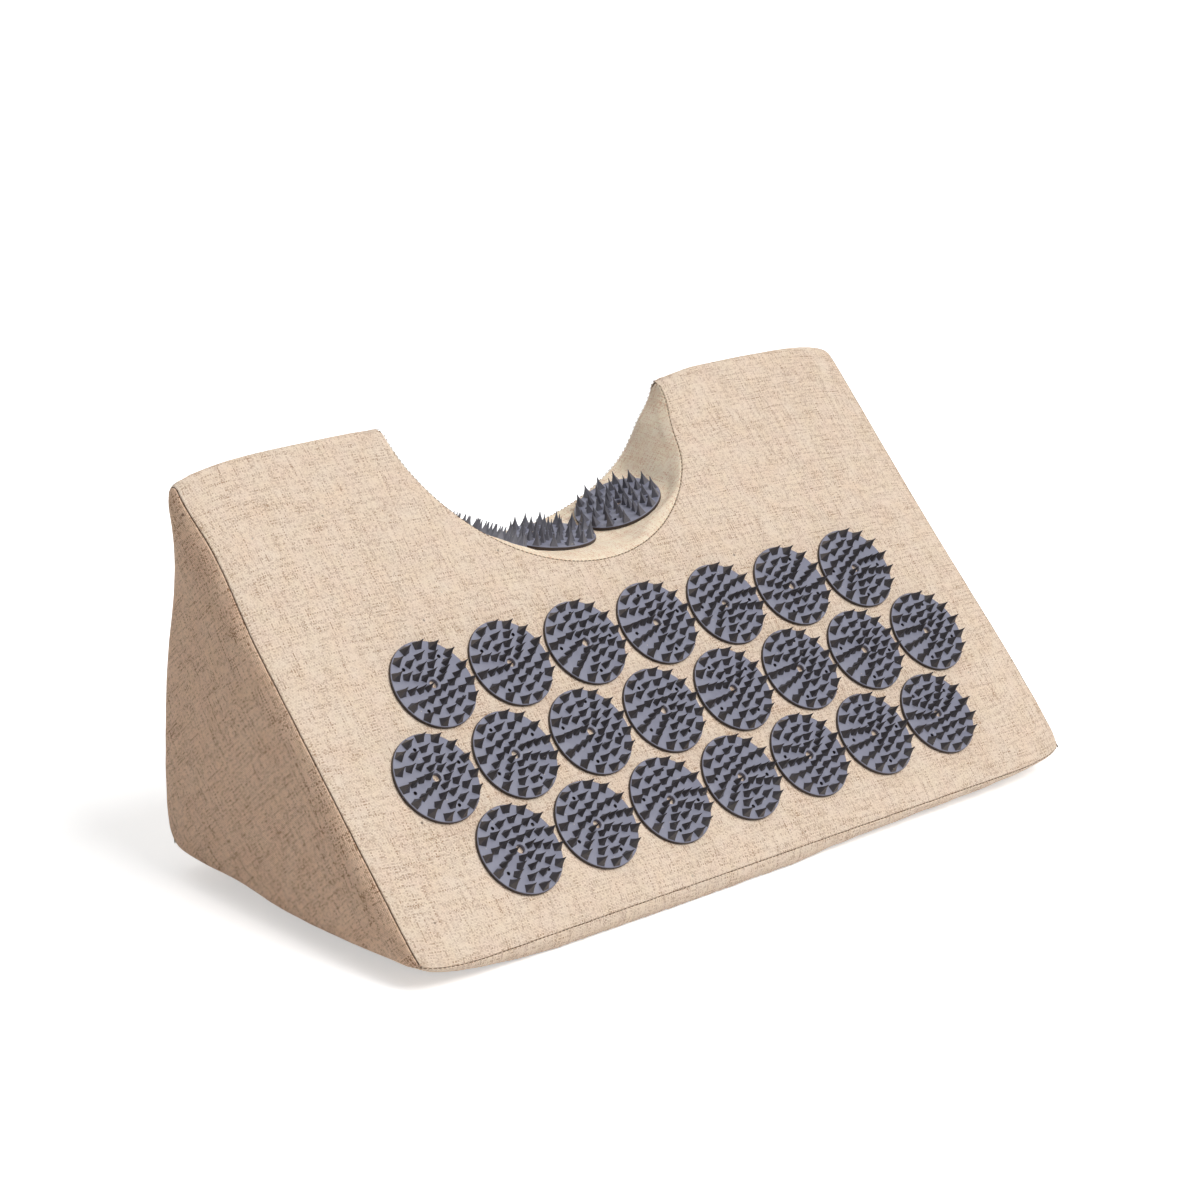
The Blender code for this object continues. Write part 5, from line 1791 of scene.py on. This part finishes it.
def wind_coil():
    tooth = tooth_object()
    reach = COIL_LENGTH / 2 - COIL_INSET
    line = poly_line("coil_line", [(-reach, 0.0, 0.0), (reach, 0.0, 0.0)])
    mesh = run_tree(line, coil_tree(), {"Tooth": tooth, "Material": ZIP_COIL})
    bpy.data.objects.remove(line)
    bpy.data.objects.remove(tooth)
    mesh.transform(ZIP_FRAME)
    mesh.name = "zip_teeth"
    return add_object("zip_teeth", mesh)


tape = zip_tape()
teeth = wind_coil()
print("zip teeth:", len(teeth.data.polygons), "faces")


# %% Cast the slider and the pull
REST_ALONG = SLIDER_END_MARGIN + SLIDER_LENGTH / 2 - COIL_LENGTH / 2
SLIDER_REST = ZIP_FRAME @ Matrix.Translation((REST_ALONG, 0.0, 0.0))
SLIDER_EDGE = 0.00022
PULL_EDGE = 0.00025
LUG_LENGTH = 0.0024
WALL_LENGTH = 0.66 * SLIDER_LENGTH
WALL_SHIFT = 0.0006
PULL_ROOT_GAP = 0.0002
PULL_NECK_AT = 0.005
PULL_SHOULDER_AT = 0.009
EYE_SIDES = 24


def outline_block(bm, outline, low, high):
    """A flat outline in x and y raised between two heights."""
    base = [bm.verts.new((x, y, low)) for x, y in outline]
    face = bm.faces.new(base)
    raised = bmesh.ops.extrude_face_region(bm, geom=[face])["geom"]
    moved = [item for item in raised if isinstance(item, bmesh.types.BMVert)]
    bmesh.ops.translate(bm, verts=moved, vec=(0.0, 0.0, high - low))


def slider_outline():
    """Seen from above: a blunt nose, two shoulders that spread the tapes, and a narrow tail."""
    half, long = SLIDER_WIDTH / 2, SLIDER_LENGTH / 2
    right = [(-long, half * 0.62), (-long * 0.55, half * 0.74), (0.0, half * 0.93), (long * 0.42, half),
             (long * 0.82, half * 0.86), (long, half * 0.45)]
    return [(x, -y) for x, y in right] + [(x, y) for x, y in reversed(right)]


def cast_slider():
    bm = bmesh.new()
    outline_block(bm, slider_outline(), COIL_HEIGHT + ZIP_GAP, SLIDER_TOP)
    wall = SLIDER_WIDTH / 2 - COIL_WIDTH / 2 - ZIP_GAP
    wall_size = (WALL_LENGTH, wall * 0.8, SLIDER_TOP - 2 * ZIP_GAP)
    tall = BAR_HEIGHT + BAR_RADIUS + LUG_TOP - SLIDER_TOP + SLIDER_ROOF / 2
    for side in (-1, 1):
        across = side * (COIL_WIDTH / 2 + ZIP_GAP + wall / 2)
        add_block(bm, wall_size, (WALL_SHIFT, across, SLIDER_TOP / 2))
        lug = side * (SLIDER_WIDTH - LUG_WIDTH) / 2
        add_block(bm, (LUG_LENGTH, LUG_WIDTH, tall), (0.0, lug, SLIDER_TOP - SLIDER_ROOF / 2 + tall / 2))
    bmesh.ops.bevel(bm, geom=bm.edges[:], offset=SLIDER_EDGE, segments=3, affect="EDGES", clamp_overlap=True)
    bar = Matrix.Translation((0.0, 0.0, BAR_HEIGHT)) @ Matrix.Rotation(pi / 2, 4, "X")
    bmesh.ops.create_cone(bm, cap_ends=True, segments=20, radius1=BAR_RADIUS, radius2=BAR_RADIUS,
                          depth=SLIDER_WIDTH - LUG_WIDTH, matrix=bar)
    return finish_mesh("zip_slider_cast", bm, ZIP_METAL, SLIDER_REST)


def pull_eye():
    """The pull's eye: a ring round the slider's bar."""
    bm = bmesh.new()
    half = PULL_WIDTH / 2
    turns = [2 * pi * index / EYE_SIDES for index in range(EYE_SIDES)]
    outer, inner = ([(radius * cos(turn), radius * sin(turn)) for turn in turns]
                    for radius in (EYE_RADIUS, BAR_RADIUS + ZIP_GAP))
    (low_out, low_in), (high_out, high_in) = (
        [[bm.verts.new((x, y, z)) for x, z in circle] for circle in (outer, inner)] for y in (-half, half))
    for k in range(EYE_SIDES):
        n = (k + 1) % EYE_SIDES
        bm.faces.new((low_out[k], low_out[n], high_out[n], high_out[k]))
        bm.faces.new((low_in[n], low_in[k], high_in[k], high_in[n]))
        bm.faces.new((low_out[n], low_out[k], low_in[k], low_in[n]))
        bm.faces.new((high_out[k], high_out[n], high_in[n], high_in[k]))
    return bm


def cast_pull():
    """The eye and a tab with a rounded end."""
    on_bar = SLIDER_REST @ Matrix.Translation((0.0, 0.0, BAR_HEIGHT))
    bm = pull_eye()
    half = (PULL_WIDTH - ZIP_GAP) / 2
    end = PULL_LENGTH - half
    rounded = arc_points((end, 0.0), half, -pi / 2, pi / 2, 13)
    side = [(BAR_RADIUS + ZIP_GAP + PULL_ROOT_GAP, half * 0.8), (PULL_NECK_AT, half * 0.72),
            (PULL_SHOULDER_AT, half)]
    outline = [(x, -y) for x, y in side] + rounded + side[::-1]
    blade = bmesh.new()
    outline_block(blade, outline, -PULL_THICKNESS / 2, PULL_THICKNESS / 2)
    level = [edge for edge in blade.edges if abs(edge.verts[0].co.z - edge.verts[1].co.z) < 1e-6]
    bmesh.ops.bevel(blade, geom=level, offset=PULL_EDGE, segments=3, affect="EDGES")
    mesh = bpy.data.meshes.new("blade")
    blade.to_mesh(mesh)
    blade.free()
    bm.from_mesh(mesh)
    bpy.data.meshes.remove(mesh)
    return finish_mesh("zip_pull_cast", bm, ZIP_METAL, on_bar)


slider = cast_slider()
pull = cast_pull()
print("slider and pull:", len(slider.data.polygons) + len(pull.data.polygons), "faces")

# %% [markdown]
# ## Bodies
#
# Every piece rides on the body that carries it, and each finer piece stands for the model's solid that it
# replaces, which is hidden. The cover's panels are sheets, cut to their flat patterns, and the foam fills
# the space inside them.

# %% Attach each piece to its body and hide the solid it stands for
RECESS_CUT_AREA = float(np.trapz(CUT_BACK - CUT_FRONT, CUT_X))

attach(wrap, "wedge")
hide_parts("wrap_panel")

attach(bottom, "wedge")
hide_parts("bottom_panel")

for end, node in ((end_left, "end_panel_left"), (end_right, "end_panel_right")):
    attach(end, "wedge")
    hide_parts(node)

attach(lining, "wedge")
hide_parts("recess_liner")

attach(foam, "wedge")
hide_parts("foam_core")

for name, piece in discs.items():
    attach(piece, "wedge")
    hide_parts("disc_" + name)
    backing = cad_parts["backing_" + name]
    backing.data.materials.clear()
    backing.data.materials.append(BACKING_PLASTIC)

for row in stitches:
    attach(row, "wedge")

for piece in (tape, teeth):
    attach(piece, "wedge")
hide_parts("zip_tape")
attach(slider, "slider")
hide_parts("zip_slider")
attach(pull, "pull")
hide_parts("zip_pull")

# %% [markdown]
# ## Floor and light
#
# The wedge stands on a plain white floor in soft studio light. A large lamp from the upper right and
# front lights the slope, and the left end stays in soft shade. The floor shows white to the camera and
# to reflections, and keeps the wedge's own shadow.

# %% The floor
FLOOR_SIZE = 12.0
FLOOR_GLOW = 0.50


def seen_directly(tree):
    """1 for rays from the camera, reflections and clear pieces, and 0 for the rays that light things."""
    path = tree.add("ShaderNodeLightPath").outputs
    seen = tree.math("MAXIMUM", path["Is Camera Ray"], path["Is Glossy Ray"])
    return tree.math("MAXIMUM", seen, path["Is Transmission Ray"])


def lay_floor():
    bpy.ops.mesh.primitive_plane_add(size=FLOOR_SIZE, location=(0.0, 0.0, 0.0))
    floor = bpy.context.object
    floor.name = "floor"
    material, tree, shader = new_material("floor")
    tree.feed(shader, {
        "Base Color": (0.92, 0.92, 0.92, 1.0), "Roughness": 0.9, "Specular IOR Level": 0.0,
        "Emission Color": (1.0, 1.0, 1.0, 1.0),
        "Emission Strength": tree.math("MULTIPLY", seen_directly(tree), FLOOR_GLOW)})
    floor.data.materials.append(material)
    return floor


floor = lay_floor()


# %% Sky and lamps
SKY_LEVEL = 0.08
LAMPS = (
    ("key", (0.25, -0.55, 0.80), 2.55, radians(40)),
    ("top", (0.0, 0.05, 1.0), 0.45, radians(50)),
    ("back", (-0.10, 0.65, 0.75), 0.62, radians(50)),
)


def light_sky():
    world = bpy.data.worlds.new("studio")
    world.use_nodes = True
    bpy.context.scene.world = world
    tree = Tree(world.node_tree)
    strength = tree.math("MULTIPLY_ADD", seen_directly(tree), 1.0 - SKY_LEVEL, SKY_LEVEL)
    tree.feed(world.node_tree.nodes["Background"], {"Color": (1.0, 1.0, 1.0, 1.0), "Strength": strength})


def hang_lamp(name, towards, strength, spread):
    """A large soft lamp far off in the given direction, so that it lights the whole floor alike."""
    data = bpy.data.lights.new(name, "SUN")
    data.energy = strength
    data.angle = spread
    lamp = add_object(name, data)
    lamp.location = towards
    lamp.rotation_euler = Vector(towards).to_track_quat("Z", "Y").to_euler()


light_sky()
for lamp_values in LAMPS:
    hang_lamp(*lamp_values)
bpy.context.scene.view_settings.view_transform = "Standard"
print("lamps hung")
